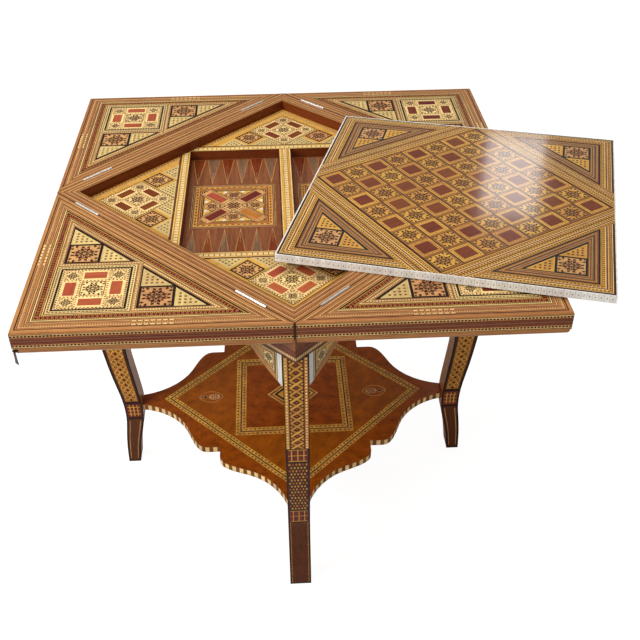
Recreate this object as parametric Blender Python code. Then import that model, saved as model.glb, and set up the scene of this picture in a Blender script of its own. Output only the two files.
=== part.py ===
"""Folding game table: a cornerwise game box on four curved legs, with four envelope leaves.

The table stands open. Each leaf is hinged to one side of the box and folds inwards over it.
A loose chequer board lies askew over the two right-hand leaves. Metres, +Z up, floor at z = 0.
The front leg points to -Y. The origin is under the middle of the whole part, board included.
"""

import math

import bmesh
import bpy
from mathutils import Matrix, Vector

# Whole table
OPEN_SIDE = 0.880
TOP_HEIGHT = 0.714
FIT_GAP = 0.0003
CUT_OVERRUN = 0.002

# Leaves: triangular panels with a flat edge face and a rounded base moulding
LEAF_THICKNESS = 0.0437
LEAF_ARRIS = 0.0008
LEAF_BAND_HEIGHT = 0.0325
MOULDING_STEP = 0.0014
MOULDING_SETBACK = 0.0070
MOULDING_STEPS = 4

# Butt hinges: plates stand in the joint, the barrel is half sunk in the top
HINGE_LENGTH = 0.068
HINGE_END_DISTANCE = 0.096
HINGE_PLATE_HEIGHT = 0.0180
HINGE_PLATE_THICKNESS = 0.0012
HINGE_BARREL_RADIUS = 0.0025
HINGE_PIN_RADIUS = 0.0010
HINGE_BORE_CLEARANCE = 0.0002
HINGE_KNUCKLES = 5
BARREL_SEGMENTS = 12

# Box: mitred side boards round a recess, with a deck and two wells
BOX_HEIGHT = 0.082
RIM_WIDTH = 0.0298
RECESS_DEPTH = 0.0210
WELL_DEPTH = 0.0200
WELL_CORNER_MARGIN = 0.0014
EDGE_BAR_WIDTH = 0.0175
CENTRE_BAR_WIDTH = 0.0260
WELL_FLOOR_THICKNESS = 0.0060
BOTTOM_BOARD_THICKNESS = 0.0060
LEDGER_WIDTH = 0.0140
LEDGER_HEIGHT = 0.0120

# Legs: sabre shape seen from the side, straight sided seen from the front
LEG_WIDTH = 0.0430
LEG_CORNER_INSET = 0.0160
LEG_TOP_DEPTH = 0.0760
LEG_STEPS_PER_STRETCH = 2
# (share of leg height, share of corner radius to the outer face, share of top depth)
LEG_PROFILE_SHARES = (
    (0.000, 0.928, 0.362),
    (0.079, 0.923, 0.414),
    (0.142, 0.914, 0.467),
    (0.206, 0.902, 0.514),
    (0.265, 0.901, 0.531),
    (0.330, 0.912, 0.553),
    (0.420, 0.937, 0.610),
    (0.525, 0.959, 0.655),
    (0.680, 0.984, 0.770),
    (0.840, 0.996, 0.888),
    (1.000, 1.000, 1.000),
)

# Brackets under the side boards, beside each leg
BRACKET_THICKNESS = 0.0180
BRACKET_REACH = 0.0880
BRACKET_DROP = 0.0680
BRACKET_BELLY = 0.0050
BRACKET_STEPS = 6

# Shelf: eight-fold serpentine outline with a square notch in the middle of each side
SHELF_TOP_HEIGHT = 0.1750
SHELF_THICKNESS = 0.0150
SHELF_TIP_HALF_WIDTH = 0.0165
SHELF_NOTCH = 0.1615
SHELF_CURVE_STEPS = 7
# Points and handles of one eighth of the outline, as shares of the notch distance
SHELF_HOLLOW_SHARES = ((1.813, 0.156), (1.561, 0.354), (1.452, 0.610))
SHELF_LOBE_SHARES = ((1.380, 0.781), (1.313, 1.000), (1.176, 1.000))

# Loose chequer board: core and bone edging. It fits the recess with a little play
BOARD_PLAY = 0.0008
BOARD_THICKNESS = 0.0143
BONE_WIDTH = 0.0024
BOARD_CENTRE_INSET = 0.1176
BOARD_CENTRE_Y = -0.0765
BOARD_TURN_DEGREES = -16.95

# Drop pull in a notch cut from the moulding, at the corner of the front-left leaf
PULL_SEAT_DEPTH = 0.0080
PULL_PIN_DEPTH = 0.0028
PULL_PIN_RISE = 0.0062
PULL_PIN_RADIUS = 0.0007
PULL_EYE_RADIUS = 0.0016
PULL_STAPLE_WIDTH = 0.0060
PULL_STAPLE_FALL = 0.0040
PULL_PLATE_THICKNESS = 0.0008
PULL_EAR_WIDTH = 0.0012
PULL_DROP_LENGTH = 0.0248
PULL_DROP_THICKNESS = 0.0014
PULL_FOOT_WIDTH = 0.0090
# (share of foot width, share of drop length) down one side of the drop
PULL_OUTLINE_SHARES = (
    (0.16, 0.00),
    (0.16, 0.11),
    (0.34, 0.16),
    (0.34, 0.60),
    (0.42, 0.82),
    (0.50, 0.93),
    (0.38, 1.00),
)

# Worked out from the sizes above
HALF_SIDE = OPEN_SIDE / 2
SIDE_DISTANCE = HALF_SIDE / math.sqrt(2)
RECESS_DISTANCE = SIDE_DISTANCE - RIM_WIDTH
RECESS_CORNER = RECESS_DISTANCE * math.sqrt(2)
WELLS_HALF_SIDE = RECESS_CORNER / 2 - WELL_CORNER_MARGIN
AXIS_RISE = FIT_GAP / 2
AXIS_HEIGHT = TOP_HEIGHT + AXIS_RISE
LEAF_REACH = SIDE_DISTANCE - FIT_GAP * math.sqrt(2)
BOX_BOTTOM = TOP_HEIGHT - BOX_HEIGHT
DECK_HEIGHT = TOP_HEIGHT - RECESS_DEPTH
WELL_FLOOR_TOP = DECK_HEIGHT - WELL_DEPTH
WELL_FLOOR_BOTTOM = WELL_FLOOR_TOP - WELL_FLOOR_THICKNESS
BOTTOM_BOARD_TOP = WELL_FLOOR_BOTTOM - FIT_GAP
BOTTOM_BOARD_BOTTOM = BOTTOM_BOARD_TOP - BOTTOM_BOARD_THICKNESS
LEG_CORNER_RADIUS = HALF_SIDE - LEG_CORNER_INSET
BOARD_SIDE = 2 * (RECESS_DISTANCE - BOARD_PLAY)
BOARD_CENTRE_X = HALF_SIDE - BOARD_CENTRE_INSET
LEG_SHOULDER = BOX_BOTTOM - FIT_GAP
LEG_POST_TOP = BOTTOM_BOARD_BOTTOM - FIT_GAP
LEG_POST_RADIUS = RECESS_CORNER - FIT_GAP * math.sqrt(2) - LEG_WIDTH / 2
LEG_SIDE_OFFSET = (LEG_WIDTH / 2 + FIT_GAP) * math.sqrt(2)
HINGE_CENTRE = SIDE_DISTANCE - HINGE_END_DISTANCE
BARREL_ROOM = HINGE_BARREL_RADIUS + FIT_GAP
PLATE_ROOM = FIT_GAP + HINGE_PLATE_THICKNESS + FIT_GAP
KNUCKLE_PITCH = HINGE_LENGTH / HINGE_KNUCKLES

SIDES = ("front_left", "front_right", "back_right", "back_left")
LEGS = ("front", "right", "back", "left")


def clear_scene():
    for obj in list(bpy.data.objects):
        bpy.data.objects.remove(obj, do_unlink=True)


def make_collections():
    parts = bpy.data.collections.new("folding_game_table")
    cutters = bpy.data.collections.new("cutters")
    bpy.context.scene.collection.children.link(parts)
    bpy.context.scene.collection.children.link(cutters)
    cutters.hide_render = True
    return parts, cutters


clear_scene()
PARTS, CUTTERS = make_collections()


def material(name, colour, roughness, metallic=0.0):
    made = bpy.data.materials.new(name)
    made.use_nodes = True
    shader = made.node_tree.nodes["Principled BSDF"]
    shader.inputs["Base Color"].default_value = (*colour, 1.0)
    shader.inputs["Roughness"].default_value = roughness
    shader.inputs["Metallic"].default_value = metallic
    made.diffuse_color = (*colour, 1.0)
    return made


LEAF_VENEER = material("leaf_marquetry", (0.50, 0.30, 0.14), 0.35)
RIM_VENEER = material("rim_stringing", (0.42, 0.22, 0.12), 0.35)
DECK_VENEER = material("deck_marquetry", (0.60, 0.36, 0.15), 0.40)
BAR_VENEER = material("bar_mosaic", (0.72, 0.48, 0.20), 0.40)
WELL_VENEER = material("well_rosewood", (0.28, 0.11, 0.07), 0.35)
PLAIN_WOOD = material("plain_beech", (0.52, 0.36, 0.20), 0.60)
LEG_VENEER = material("leg_marquetry", (0.40, 0.20, 0.08), 0.40)
BRACKET_VENEER = material("bracket_marquetry", (0.38, 0.24, 0.14), 0.40)
SHELF_VENEER = material("shelf_burl", (0.45, 0.19, 0.05), 0.30)
BOARD_VENEER = material("board_marquetry", (0.55, 0.30, 0.09), 0.15)
BONE = material("bone_tiles", (0.85, 0.80, 0.70), 0.30)
HINGE_STEEL = material("hinge_steel", (0.75, 0.74, 0.72), 0.30, 1.0)
PULL_BRONZE = material("pull_bronze", (0.12, 0.06, 0.04), 0.45, 0.8)


def frame_empty(name, location, turn=0.0, parent=None, tilt=0.0):
    """An empty that carries pieces: turned about Z, then tilted about the world Y axis."""
    empty = bpy.data.objects.new(name, None)
    empty.parent = parent
    empty.matrix_basis = (
        Matrix.Translation(location) @ Matrix.Rotation(tilt, 4, "Y") @ Matrix.Rotation(turn, 4, "Z")
    )
    PARTS.objects.link(empty)
    return empty


def add_piece(name, mesh, finish, parent, location=(0, 0, 0), turn=0.0):
    """Links one named piece; pieces that are alike may share a mesh."""
    piece = bpy.data.objects.new(name, mesh)
    if not mesh.materials:
        mesh.materials.append(finish)
    piece.parent = parent
    piece.location = location
    piece.rotation_euler.z = turn
    PARTS.objects.link(piece)
    return piece


def evaluated_mesh(obj, name):
    """The object's evaluated mesh as plain data, with its matrix applied."""
    graph = bpy.context.evaluated_depsgraph_get()
    mesh = bpy.data.meshes.new_from_object(obj.evaluated_get(graph))
    mesh.name = name
    mesh.transform(obj.matrix_world)
    return mesh


def outline_mesh(name, outlines, thickness, matrix=Matrix.Identity(4)):
    """A flat plate from closed outlines: the first is the edge, any other is a hole in it."""
    curve = bpy.data.curves.new(name, "CURVE")
    curve.dimensions = "2D"
    curve.fill_mode = "BOTH"
    curve.extrude = thickness / 2
    for outline in outlines:
        spline = curve.splines.new("POLY")
        spline.points.add(len(outline) - 1)
        for point, (x, y) in zip(spline.points, outline):
            point.co = (x, y, 0, 1)
        spline.use_cyclic_u = True
    obj = bpy.data.objects.new(name, curve)
    CUTTERS.objects.link(obj)
    bpy.context.view_layer.update()
    mesh = evaluated_mesh(obj, name)
    bpy.data.objects.remove(obj)
    mesh.transform(matrix)
    shape = bmesh.new()
    shape.from_mesh(mesh)
    bmesh.ops.remove_doubles(shape, verts=shape.verts, dist=FIT_GAP / 100)
    bmesh.ops.recalc_face_normals(shape, faces=shape.faces)
    shape.to_mesh(mesh)
    shape.free()
    return mesh


def standing(outline, bottom, top, name):
    """A plate from an outline seen from above, between two heights."""
    lift = Matrix.Translation((0, 0, (bottom + top) / 2))
    return outline_mesh(name, [outline], top - bottom, lift)


def box_mesh(name, low, high):
    shape = bmesh.new()
    bmesh.ops.create_cube(shape, size=1.0)
    low, high = Vector(low), Vector(high)
    bmesh.ops.scale(shape, vec=high - low, verts=shape.verts)
    bmesh.ops.translate(shape, vec=(low + high) / 2, verts=shape.verts)
    mesh = bpy.data.meshes.new(name)
    shape.to_mesh(mesh)
    shape.free()
    return mesh


def barrel_mesh(name, radius, start, end):
    """A round bar along X."""
    shape = bmesh.new()
    bmesh.ops.create_cone(
        shape, cap_ends=True, segments=BARREL_SEGMENTS, radius1=radius, radius2=radius, depth=end - start
    )
    bmesh.ops.rotate(shape, matrix=Matrix.Rotation(math.pi / 2, 3, "Y"), verts=shape.verts)
    bmesh.ops.translate(shape, vec=((start + end) / 2, 0, 0), verts=shape.verts)
    mesh = bpy.data.meshes.new(name)
    shape.to_mesh(mesh)
    shape.free()
    return mesh


def add_cutter(name, mesh):
    cutter = bpy.data.objects.new(name, mesh)
    cutter.hide_render = True
    cutter.display_type = "WIRE"
    CUTTERS.objects.link(cutter)
    return cutter


def boolean(obj, other, operation):
    modifier = obj.modifiers.new(operation.lower(), "BOOLEAN")
    modifier.operation = operation
    modifier.solver = "EXACT"
    modifier.object = other


def joined_mesh(name, meshes, cuts=()):
    """One mesh from overlapping shapes, less the cuts."""
    helpers = [add_cutter(f"{name}_shape", mesh) for mesh in (*meshes, *cuts)]
    base = helpers[0]
    for index, helper in enumerate(helpers[1:], start=1):
        boolean(base, helper, "UNION" if index < len(meshes) else "DIFFERENCE")
    bpy.context.view_layer.update()
    made = evaluated_mesh(base, name)
    for helper in helpers:
        bpy.data.objects.remove(helper)
    return made


def smooth_shade(mesh):
    mesh.shade_smooth()
    mesh.set_sharp_from_angle(angle=math.radians(40))
    return mesh


# Board placing: it rests on the rim and on two hinge barrels, so it lies slightly tilted
def board_rest_x():
    """Where the board's front edge crosses the inner edge of the front-right rim."""
    turn = math.radians(BOARD_TURN_DEGREES)
    along = Vector((math.cos(turn), math.sin(turn)))
    across = Vector((-math.sin(turn), math.cos(turn)))
    start = Vector((BOARD_CENTRE_X, BOARD_CENTRE_Y)) - across * BOARD_SIDE / 2
    step = (RECESS_CORNER - start.x + start.y) / (along.x - along.y)
    return start.x + along.x * step


def board_matrix():
    """Place of the middle of the board's lower face."""
    barrel_end_x = HALF_SIDE - (HINGE_END_DISTANCE + HINGE_LENGTH / 2) / math.sqrt(2)
    rest_x = board_rest_x()
    slope = (AXIS_RISE + HINGE_BARREL_RADIUS) / (barrel_end_x - rest_x)
    height = TOP_HEIGHT + FIT_GAP + (BOARD_CENTRE_X - rest_x) * slope
    return (BOARD_CENTRE_X, BOARD_CENTRE_Y, height), -math.atan(slope)


def board_far_x():
    location, tilt = board_matrix()
    turn = math.radians(BOARD_TURN_DEGREES)
    leaning = Matrix.Translation(location) @ Matrix.Rotation(tilt, 4, "Y")
    place = leaning @ Matrix.Rotation(turn, 4, "Z")
    return (place @ Vector((BOARD_SIDE / 2, BOARD_SIDE / 2, 0))).x


BOARD_LOCATION, BOARD_TILT = board_matrix()
CENTRE_SHIFT = (board_far_x() - (HALF_SIDE - FIT_GAP)) / 2
TABLE = frame_empty("table_frame", (-CENTRE_SHIFT, 0, 0))
SIDE_FRAMES = [
    frame_empty(f"{side}_side", (0, 0, 0), math.radians(90 * k - 45), TABLE)
    for k, side in enumerate(SIDES)
]
LEG_FRAMES = [
    frame_empty(f"{leg}_corner", (0, 0, 0), math.radians(90 * k), TABLE) for k, leg in enumerate(LEGS)
]
LEAF_AXES = [
    frame_empty(f"{side}_leaf_axis", (0, -SIDE_DISTANCE, AXIS_HEIGHT), 0.0, frame)
    for side, frame in zip(SIDES, SIDE_FRAMES)
]


def leaf_levels():
    """(set back of the outer faces, height) from the leaf's top down to its underside."""
    top = -AXIS_RISE
    band_bottom = top - LEAF_BAND_HEIGHT
    bottom = top - LEAF_THICKNESS
    levels = [(LEAF_ARRIS, top), (0, top - LEAF_ARRIS), (0, band_bottom)]
    levels.append((MOULDING_STEP, band_bottom - MOULDING_STEP))
    drop = band_bottom - MOULDING_STEP - bottom
    for step in range(1, MOULDING_STEPS + 1):
        angle = math.pi / 2 * step / MOULDING_STEPS
        inset = MOULDING_STEP + (MOULDING_SETBACK - MOULDING_STEP) * (1 - math.cos(angle))
        levels.append((inset, band_bottom - MOULDING_STEP - drop * math.sin(angle)))
    return levels


def leaf_mesh(name):
    """A loft of triangles: the hinge side is upright, the two outer sides carry the moulding."""
    shape = bmesh.new()
    rings = []
    for setback, height in leaf_levels():
        reach = LEAF_REACH - setback * math.sqrt(2)
        half = reach - FIT_GAP
        corners = ((-half, -FIT_GAP), (0, -reach), (half, -FIT_GAP))
        rings.append([shape.verts.new((x, y, height)) for x, y in corners])
    shape.faces.new(rings[0])
    shape.faces.new(reversed(rings[-1]))
    for upper, lower in zip(rings, rings[1:]):
        for here in range(3):
            ahead = (here + 1) % 3
            shape.faces.new((upper[here], lower[here], lower[ahead], upper[ahead]))
    bmesh.ops.recalc_face_normals(shape, faces=shape.faces)
    mesh = bpy.data.meshes.new(name)
    shape.to_mesh(mesh)
    shape.free()
    return mesh


def hinge_pocket_mesh():
    """Room for one hinge: a groove for the barrel over a slot for the two plates."""
    half = HINGE_LENGTH / 2 + FIT_GAP
    groove = box_mesh("groove", (-half, -BARREL_ROOM, -BARREL_ROOM), (half, BARREL_ROOM, CUT_OVERRUN))
    slot_bottom = -HINGE_PLATE_HEIGHT - FIT_GAP
    slot = box_mesh("slot", (-half, -PLATE_ROOM, slot_bottom), (half, PLATE_ROOM, 0))
    return joined_mesh("hinge_pocket", [groove, slot])


def hinge_half_mesh(name, side, own_parity):
    """One half of a hinge about its pin; side is +1 for the box and -1 for the leaf."""
    near = side * FIT_GAP
    far = side * (FIT_GAP + HINGE_PLATE_THICKNESS)
    low_y, high_y = min(near, far), max(near, far)
    half = HINGE_LENGTH / 2
    plate_top = -HINGE_BARREL_RADIUS - FIT_GAP
    shapes = [box_mesh(name, (-half, low_y, -HINGE_PLATE_HEIGHT), (half, high_y, plate_top))]
    for index in range(own_parity, HINGE_KNUCKLES, 2):
        start = -half + index * KNUCKLE_PITCH
        end = start + KNUCKLE_PITCH
        if index > 0:
            start += FIT_GAP / 2
        if index < HINGE_KNUCKLES - 1:
            end -= FIT_GAP / 2
        tab_bottom = plate_top - HINGE_BARREL_RADIUS
        shapes.append(box_mesh(name, (start, low_y, tab_bottom), (end, high_y, 0)))
        shapes.append(barrel_mesh(name, HINGE_BARREL_RADIUS, start, end))
    if own_parity == 0:
        inner = half - KNUCKLE_PITCH / 2
        shapes.append(barrel_mesh(name, HINGE_PIN_RADIUS, -inner, inner))
        return smooth_shade(joined_mesh(name, shapes))
    bore = barrel_mesh(name, HINGE_PIN_RADIUS + HINGE_BORE_CLEARANCE, -half, half)
    return smooth_shade(joined_mesh(name, shapes, [bore]))


def make_leaves_and_hinges():
    fixed_half = hinge_half_mesh("hinge_fixed_half", 1, 0)
    moving_half = hinge_half_mesh("hinge_moving_half", -1, 1)
    pocket_mesh = hinge_pocket_mesh()
    pockets = {}
    for side, axis in zip(SIDES, LEAF_AXES):
        leaf = add_piece(f"{side}_leaf", leaf_mesh(f"{side}_leaf"), LEAF_VENEER, axis)
        for label, x in (("a", -HINGE_CENTRE), ("b", HINGE_CENTRE)):
            pocket = add_cutter(f"{side}_hinge_{label}_pocket", pocket_mesh)
            pocket.parent = axis
            pocket.location.x = x
            boolean(leaf, pocket, "DIFFERENCE")
            pockets.setdefault(side, []).append(pocket)
            add_piece(f"{side}_hinge_{label}_fixed", fixed_half, HINGE_STEEL, axis, (x, 0, 0))
            add_piece(f"{side}_hinge_{label}_moving", moving_half, HINGE_STEEL, axis, (x, 0, 0))
    return pockets


def make_side_boards(pockets):
    outer = SIDE_DISTANCE - FIT_GAP
    mitre = FIT_GAP / math.sqrt(2)
    outline = [
        (-outer + mitre, -outer),
        (outer - mitre, -outer),
        (RECESS_DISTANCE - mitre, -RECESS_DISTANCE),
        (-RECESS_DISTANCE + mitre, -RECESS_DISTANCE),
    ]
    for side, frame in zip(SIDES, SIDE_FRAMES):
        mesh = standing(outline, BOX_BOTTOM, TOP_HEIGHT, f"{side}_side_board")
        board = add_piece(f"{side}_side_board", mesh, RIM_VENEER, frame)
        for pocket in pockets[side]:
            boolean(board, pocket, "DIFFERENCE")


def make_box_floor():
    inner = RECESS_DISTANCE - FIT_GAP
    square = [(-inner, -inner), (inner, -inner), (inner, inner), (-inner, inner)]
    bottom = standing(square, BOTTOM_BOARD_BOTTOM, BOTTOM_BOARD_TOP, "bottom_board")
    add_piece("bottom_board", bottom, PLAIN_WOOD, SIDE_FRAMES[0])
    ledger_inner = inner - LEDGER_WIDTH
    ledger = [
        (-(inner - LEG_SIDE_OFFSET), -inner),
        (inner - LEG_SIDE_OFFSET, -inner),
        (ledger_inner - LEG_SIDE_OFFSET, -ledger_inner),
        (-(ledger_inner - LEG_SIDE_OFFSET), -ledger_inner),
    ]
    ledger_top = BOTTOM_BOARD_BOTTOM - FIT_GAP
    ledger_mesh = standing(ledger, ledger_top - LEDGER_HEIGHT, ledger_top, "ledger")
    for side, frame in zip(SIDES, SIDE_FRAMES):
        add_piece(f"{side}_ledger", ledger_mesh, PLAIN_WOOD, frame)


def make_deck():
    """Edge bars, corner panels, centre bar and well floors, all standing on the bottom board."""
    wall = RECESS_CORNER - FIT_GAP * math.sqrt(2)
    mitre = FIT_GAP / math.sqrt(2)
    near = WELLS_HALF_SIDE
    corner = (wall + mitre) / 2
    far = near + EDGE_BAR_WIDTH
    bar = [
        (-near + mitre, -near),
        (near - mitre, -near),
        (corner - mitre, -corner),
        (wall - far, -far),
        (far - wall, -far),
        (mitre - corner, -corner),
    ]
    bar_mesh = standing(bar, WELL_FLOOR_BOTTOM, DECK_HEIGHT, "edge_bar")
    base = far + FIT_GAP
    panel = [(base - wall, -base), (wall - base, -base), (0, -wall)]
    panel_mesh = standing(panel, WELL_FLOOR_BOTTOM, DECK_HEIGHT, "corner_panel")
    for leg, frame in zip(LEGS, LEG_FRAMES):
        add_piece(f"{leg}_edge_bar", bar_mesh, BAR_VENEER, frame)
        add_piece(f"{leg}_corner_panel", panel_mesh, DECK_VENEER, frame)
    middle = CENTRE_BAR_WIDTH / 2
    end = near - FIT_GAP
    centre = box_mesh("centre_bar", (-middle, -end, WELL_FLOOR_BOTTOM), (middle, end, DECK_HEIGHT))
    add_piece("centre_bar", centre, BAR_VENEER, TABLE)
    for name, turn in (("left_well_floor", 0), ("right_well_floor", math.pi)):
        low = (-end, -end, WELL_FLOOR_BOTTOM)
        high = (-middle - FIT_GAP, end, WELL_FLOOR_TOP)
        add_piece(name, box_mesh(name, low, high), WELL_VENEER, TABLE, turn=turn)


def spline_value(values, position):
    """Smooth value between evenly counted knots, as a Catmull-Rom curve."""
    last = len(values) - 1
    index = min(int(position), last - 1)
    t = position - index
    a, b, c, d = (values[max(0, min(last, index + k))] for k in (-1, 0, 1, 2))
    square = (2 * a - 5 * b + 4 * c - d) * t**2
    cube = (3 * b - a - 3 * c + d) * t**3
    return b + ((c - a) * t + square + cube) / 2


def leg_profile():
    """Outer and inner edge of a leg as (radius, height), both from the floor up."""
    stretches = len(LEG_PROFILE_SHARES) - 1
    outer, inner = [], []
    for step in range(stretches * LEG_STEPS_PER_STRETCH + 1):
        place = step / LEG_STEPS_PER_STRETCH
        height, radius, depth = (spline_value(shares, place) for shares in zip(*LEG_PROFILE_SHARES))
        z = height * LEG_SHOULDER
        outer.append((radius * LEG_CORNER_RADIUS, z))
        inner.append((radius * LEG_CORNER_RADIUS - depth * LEG_TOP_DEPTH, z))
    return outer, inner


def radial_matrix():
    """Turns an outline of (radius, height) so that it stands over the -Y half axis."""
    return Matrix(((0, 0, 1, 0), (-1, 0, 0, 0), (0, 1, 0, 0), (0, 0, 0, 1)))


def make_legs():
    outer, inner = leg_profile()
    post_inner = inner[-1][0]
    post = [
        (LEG_POST_RADIUS, LEG_SHOULDER),
        (LEG_POST_RADIUS, LEG_POST_TOP),
        (post_inner, LEG_POST_TOP),
    ]
    outline = outer + post + list(reversed(inner))
    mesh = outline_mesh("leg", [outline], LEG_WIDTH, radial_matrix())
    for leg, frame in zip(LEGS, LEG_FRAMES):
        add_piece(f"{leg}_leg", mesh, LEG_VENEER, frame)


def bracket_outline():
    """Seen square to the side board: (distance from the corner, height)."""
    top = BOX_BOTTOM - FIT_GAP
    slope = []
    for step in range(BRACKET_STEPS + 1):
        share = step / BRACKET_STEPS
        belly = BRACKET_BELLY * math.sin(math.pi * share)
        along = LEG_SIDE_OFFSET + (BRACKET_REACH * share) + belly
        slope.append((along, top - BRACKET_DROP * (1 - share) - belly))
    return [(0, top), (0, top - BRACKET_DROP)] + slope


def make_brackets():
    corridor_half = LEG_WIDTH / 2 + FIT_GAP
    front_face = SIDE_DISTANCE - FIT_GAP
    outline = bracket_outline()
    corridors = []
    for leg, frame in zip(LEGS, LEG_FRAMES):
        low = (-corridor_half, -HALF_SIDE - CUT_OVERRUN, 0)
        high = (corridor_half, -SIDE_DISTANCE, TOP_HEIGHT)
        cutter = add_cutter(f"{leg}_leg_corridor", box_mesh("leg_corridor", low, high))
        cutter.parent = frame
        corridors.append(cutter)
    for k, (side, frame) in enumerate(zip(SIDES, SIDE_FRAMES)):
        for leg_index, hand in ((k, 1), ((k + 3) % len(LEGS), -1)):
            flat = [(hand * (front_face - along), height) for along, height in outline]
            y = -front_face + BRACKET_THICKNESS / 2
            upright = Matrix(((1, 0, 0, 0), (0, 0, 1, y), (0, 1, 0, 0), (0, 0, 0, 1)))
            name = f"{LEGS[leg_index]}_leg_{side}_bracket"
            mesh = outline_mesh(name, [flat], BRACKET_THICKNESS, upright)
            bracket = add_piece(name, mesh, BRACKET_VENEER, frame)
            boolean(bracket, corridors[leg_index], "DIFFERENCE")


def cubic(start, first, second, end):
    """Points of a cubic curve after its start."""
    handles = [Vector(point) for point in (start, first, second, end)]
    points = []
    for step in range(1, SHELF_CURVE_STEPS + 1):
        t = step / SHELF_CURVE_STEPS
        weights = ((1 - t) ** 3, 3 * t * (1 - t) ** 2, 3 * t**2 * (1 - t), t**3)
        point = sum((weight * handle for weight, handle in zip(weights, handles)), Vector((0, 0)))
        points.append(tuple(point))
    return points


def shelf_reach():
    """Distance to the inner faces of the legs at the shelf's height, less the fit."""
    low = SHELF_TOP_HEIGHT - SHELF_THICKNESS
    _, inner = leg_profile()
    beside = []
    for (radius, height), (next_radius, next_height) in zip(inner, inner[1:]):
        if next_height >= low and height <= SHELF_TOP_HEIGHT:
            beside += [radius, next_radius]
    return min(beside) - FIT_GAP


def shelf_eighth():
    """From the tip at a leg round to the corner of the notch, above the +X axis."""
    hollow = [(x * SHELF_NOTCH, y * SHELF_NOTCH) for x, y in SHELF_HOLLOW_SHARES]
    lobe = [(x * SHELF_NOTCH, y * SHELF_NOTCH) for x, y in SHELF_LOBE_SHARES]
    tip = (shelf_reach(), SHELF_TIP_HALF_WIDTH)
    return [tip, *cubic(tip, *hollow), *cubic(hollow[-1], *lobe), (SHELF_NOTCH, SHELF_NOTCH)]


def make_shelf():
    eighth = shelf_eighth()
    quarter = eighth + [(y, x) for x, y in reversed(eighth[:-1])]
    outline = []
    for k in range(4):
        turn = Matrix.Rotation(math.radians(90 * k), 2)
        outline += [tuple(turn @ Vector(point)) for point in quarter]
    mesh = standing(outline, SHELF_TOP_HEIGHT - SHELF_THICKNESS, SHELF_TOP_HEIGHT, "shelf")
    add_piece("shelf", mesh, SHELF_VENEER, TABLE)


def make_board():
    turn = math.radians(BOARD_TURN_DEGREES)
    frame = frame_empty("board_frame", BOARD_LOCATION, turn, TABLE, BOARD_TILT)
    outer = BOARD_SIDE / 2
    inner = outer - BONE_WIDTH
    core = inner - FIT_GAP
    core_mesh = box_mesh("board_core", (-core, -core, 0), (core, core, BOARD_THICKNESS))
    add_piece("board_core", core_mesh, BOARD_VENEER, frame)
    squares = [[(-h, -h), (h, -h), (h, h), (-h, h)] for h in (outer, inner)]
    lift = Matrix.Translation((0, 0, BOARD_THICKNESS / 2))
    add_piece("board_bone_edging", outline_mesh("bone", squares, BOARD_THICKNESS, lift), BONE, frame)


def make_pull():
    """A staple in a notch under the leaf's outer corner, and the drop that swings from it."""
    axis = LEAF_AXES[0]
    leaf_bottom = -AXIS_RISE - LEAF_THICKNESS
    seat_y = -LEAF_REACH + PULL_SEAT_DEPTH
    half_seat = PULL_SEAT_DEPTH + CUT_OVERRUN
    low = (-half_seat, -LEAF_REACH - CUT_OVERRUN, leaf_bottom - CUT_OVERRUN)
    seat_top = -AXIS_RISE - LEAF_BAND_HEIGHT
    high = (half_seat, seat_y, seat_top)
    seat = add_cutter("pull_seat", box_mesh("pull_seat", low, high))
    seat.parent = axis
    boolean(bpy.data.objects["front_left_leaf"], seat, "DIFFERENCE")

    pin_height = leaf_bottom + PULL_PIN_RISE
    pin = frame_empty("pull_axis", (0, -LEAF_REACH + PULL_PIN_DEPTH, pin_height), 0.0, axis)
    back = PULL_SEAT_DEPTH - PULL_PIN_DEPTH - FIT_GAP
    front = back - PULL_PLATE_THICKNESS
    half = PULL_STAPLE_WIDTH / 2
    ear = half - PULL_EAR_WIDTH
    plate_top = seat_top - pin_height - FIT_GAP
    plate = box_mesh("staple", (-half, front, -PULL_STAPLE_FALL), (half, back, plate_top))
    eye = PULL_EYE_RADIUS
    ears = [
        box_mesh("staple", (x, -eye, -eye), (x + PULL_EAR_WIDTH, back, eye)) for x in (-half, ear)
    ]
    bar = barrel_mesh("staple", PULL_PIN_RADIUS, -half + PULL_EAR_WIDTH / 2, half - PULL_EAR_WIDTH / 2)
    add_piece("pull_staple", joined_mesh("pull_staple", [plate, *ears, bar]), PULL_BRONZE, pin)

    side = [(x * PULL_FOOT_WIDTH, -z * PULL_DROP_LENGTH) for x, z in PULL_OUTLINE_SHARES]
    outline = side + [(-x, z) for x, z in reversed(side)]
    upright = Matrix(((1, 0, 0, 0), (0, 0, 1, 0), (0, 1, 0, 0), (0, 0, 0, 1)))
    blade = outline_mesh("drop", [outline], PULL_DROP_THICKNESS, upright)
    collar = barrel_mesh("drop", PULL_EYE_RADIUS, -ear + FIT_GAP, ear - FIT_GAP)
    bore = barrel_mesh("drop", PULL_PIN_RADIUS + HINGE_BORE_CLEARANCE, -half, half)
    add_piece("pull_drop", joined_mesh("pull_drop", [collar, blade], [bore]), PULL_BRONZE, pin)


make_side_boards(make_leaves_and_hinges())
make_box_floor()
make_deck()
make_legs()
make_brackets()
make_shelf()
make_board()
make_pull()
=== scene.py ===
"""Looks of the folding game table: inlaid veneers, bone edging, hinges, pull and studio.

Each inlaid face is a sheet of veneer pieces. The pieces are drawn flat in order, each let into
those below it, and then cut into one closed sheet. Metres, +Z up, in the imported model's frame.
"""

import math
import random

import bmesh
import bpy
from bpy.props import FloatProperty, FloatVectorProperty, PointerProperty
from mathutils import Matrix, Vector
from mathutils.geometry import delaunay_2d_cdt


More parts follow.
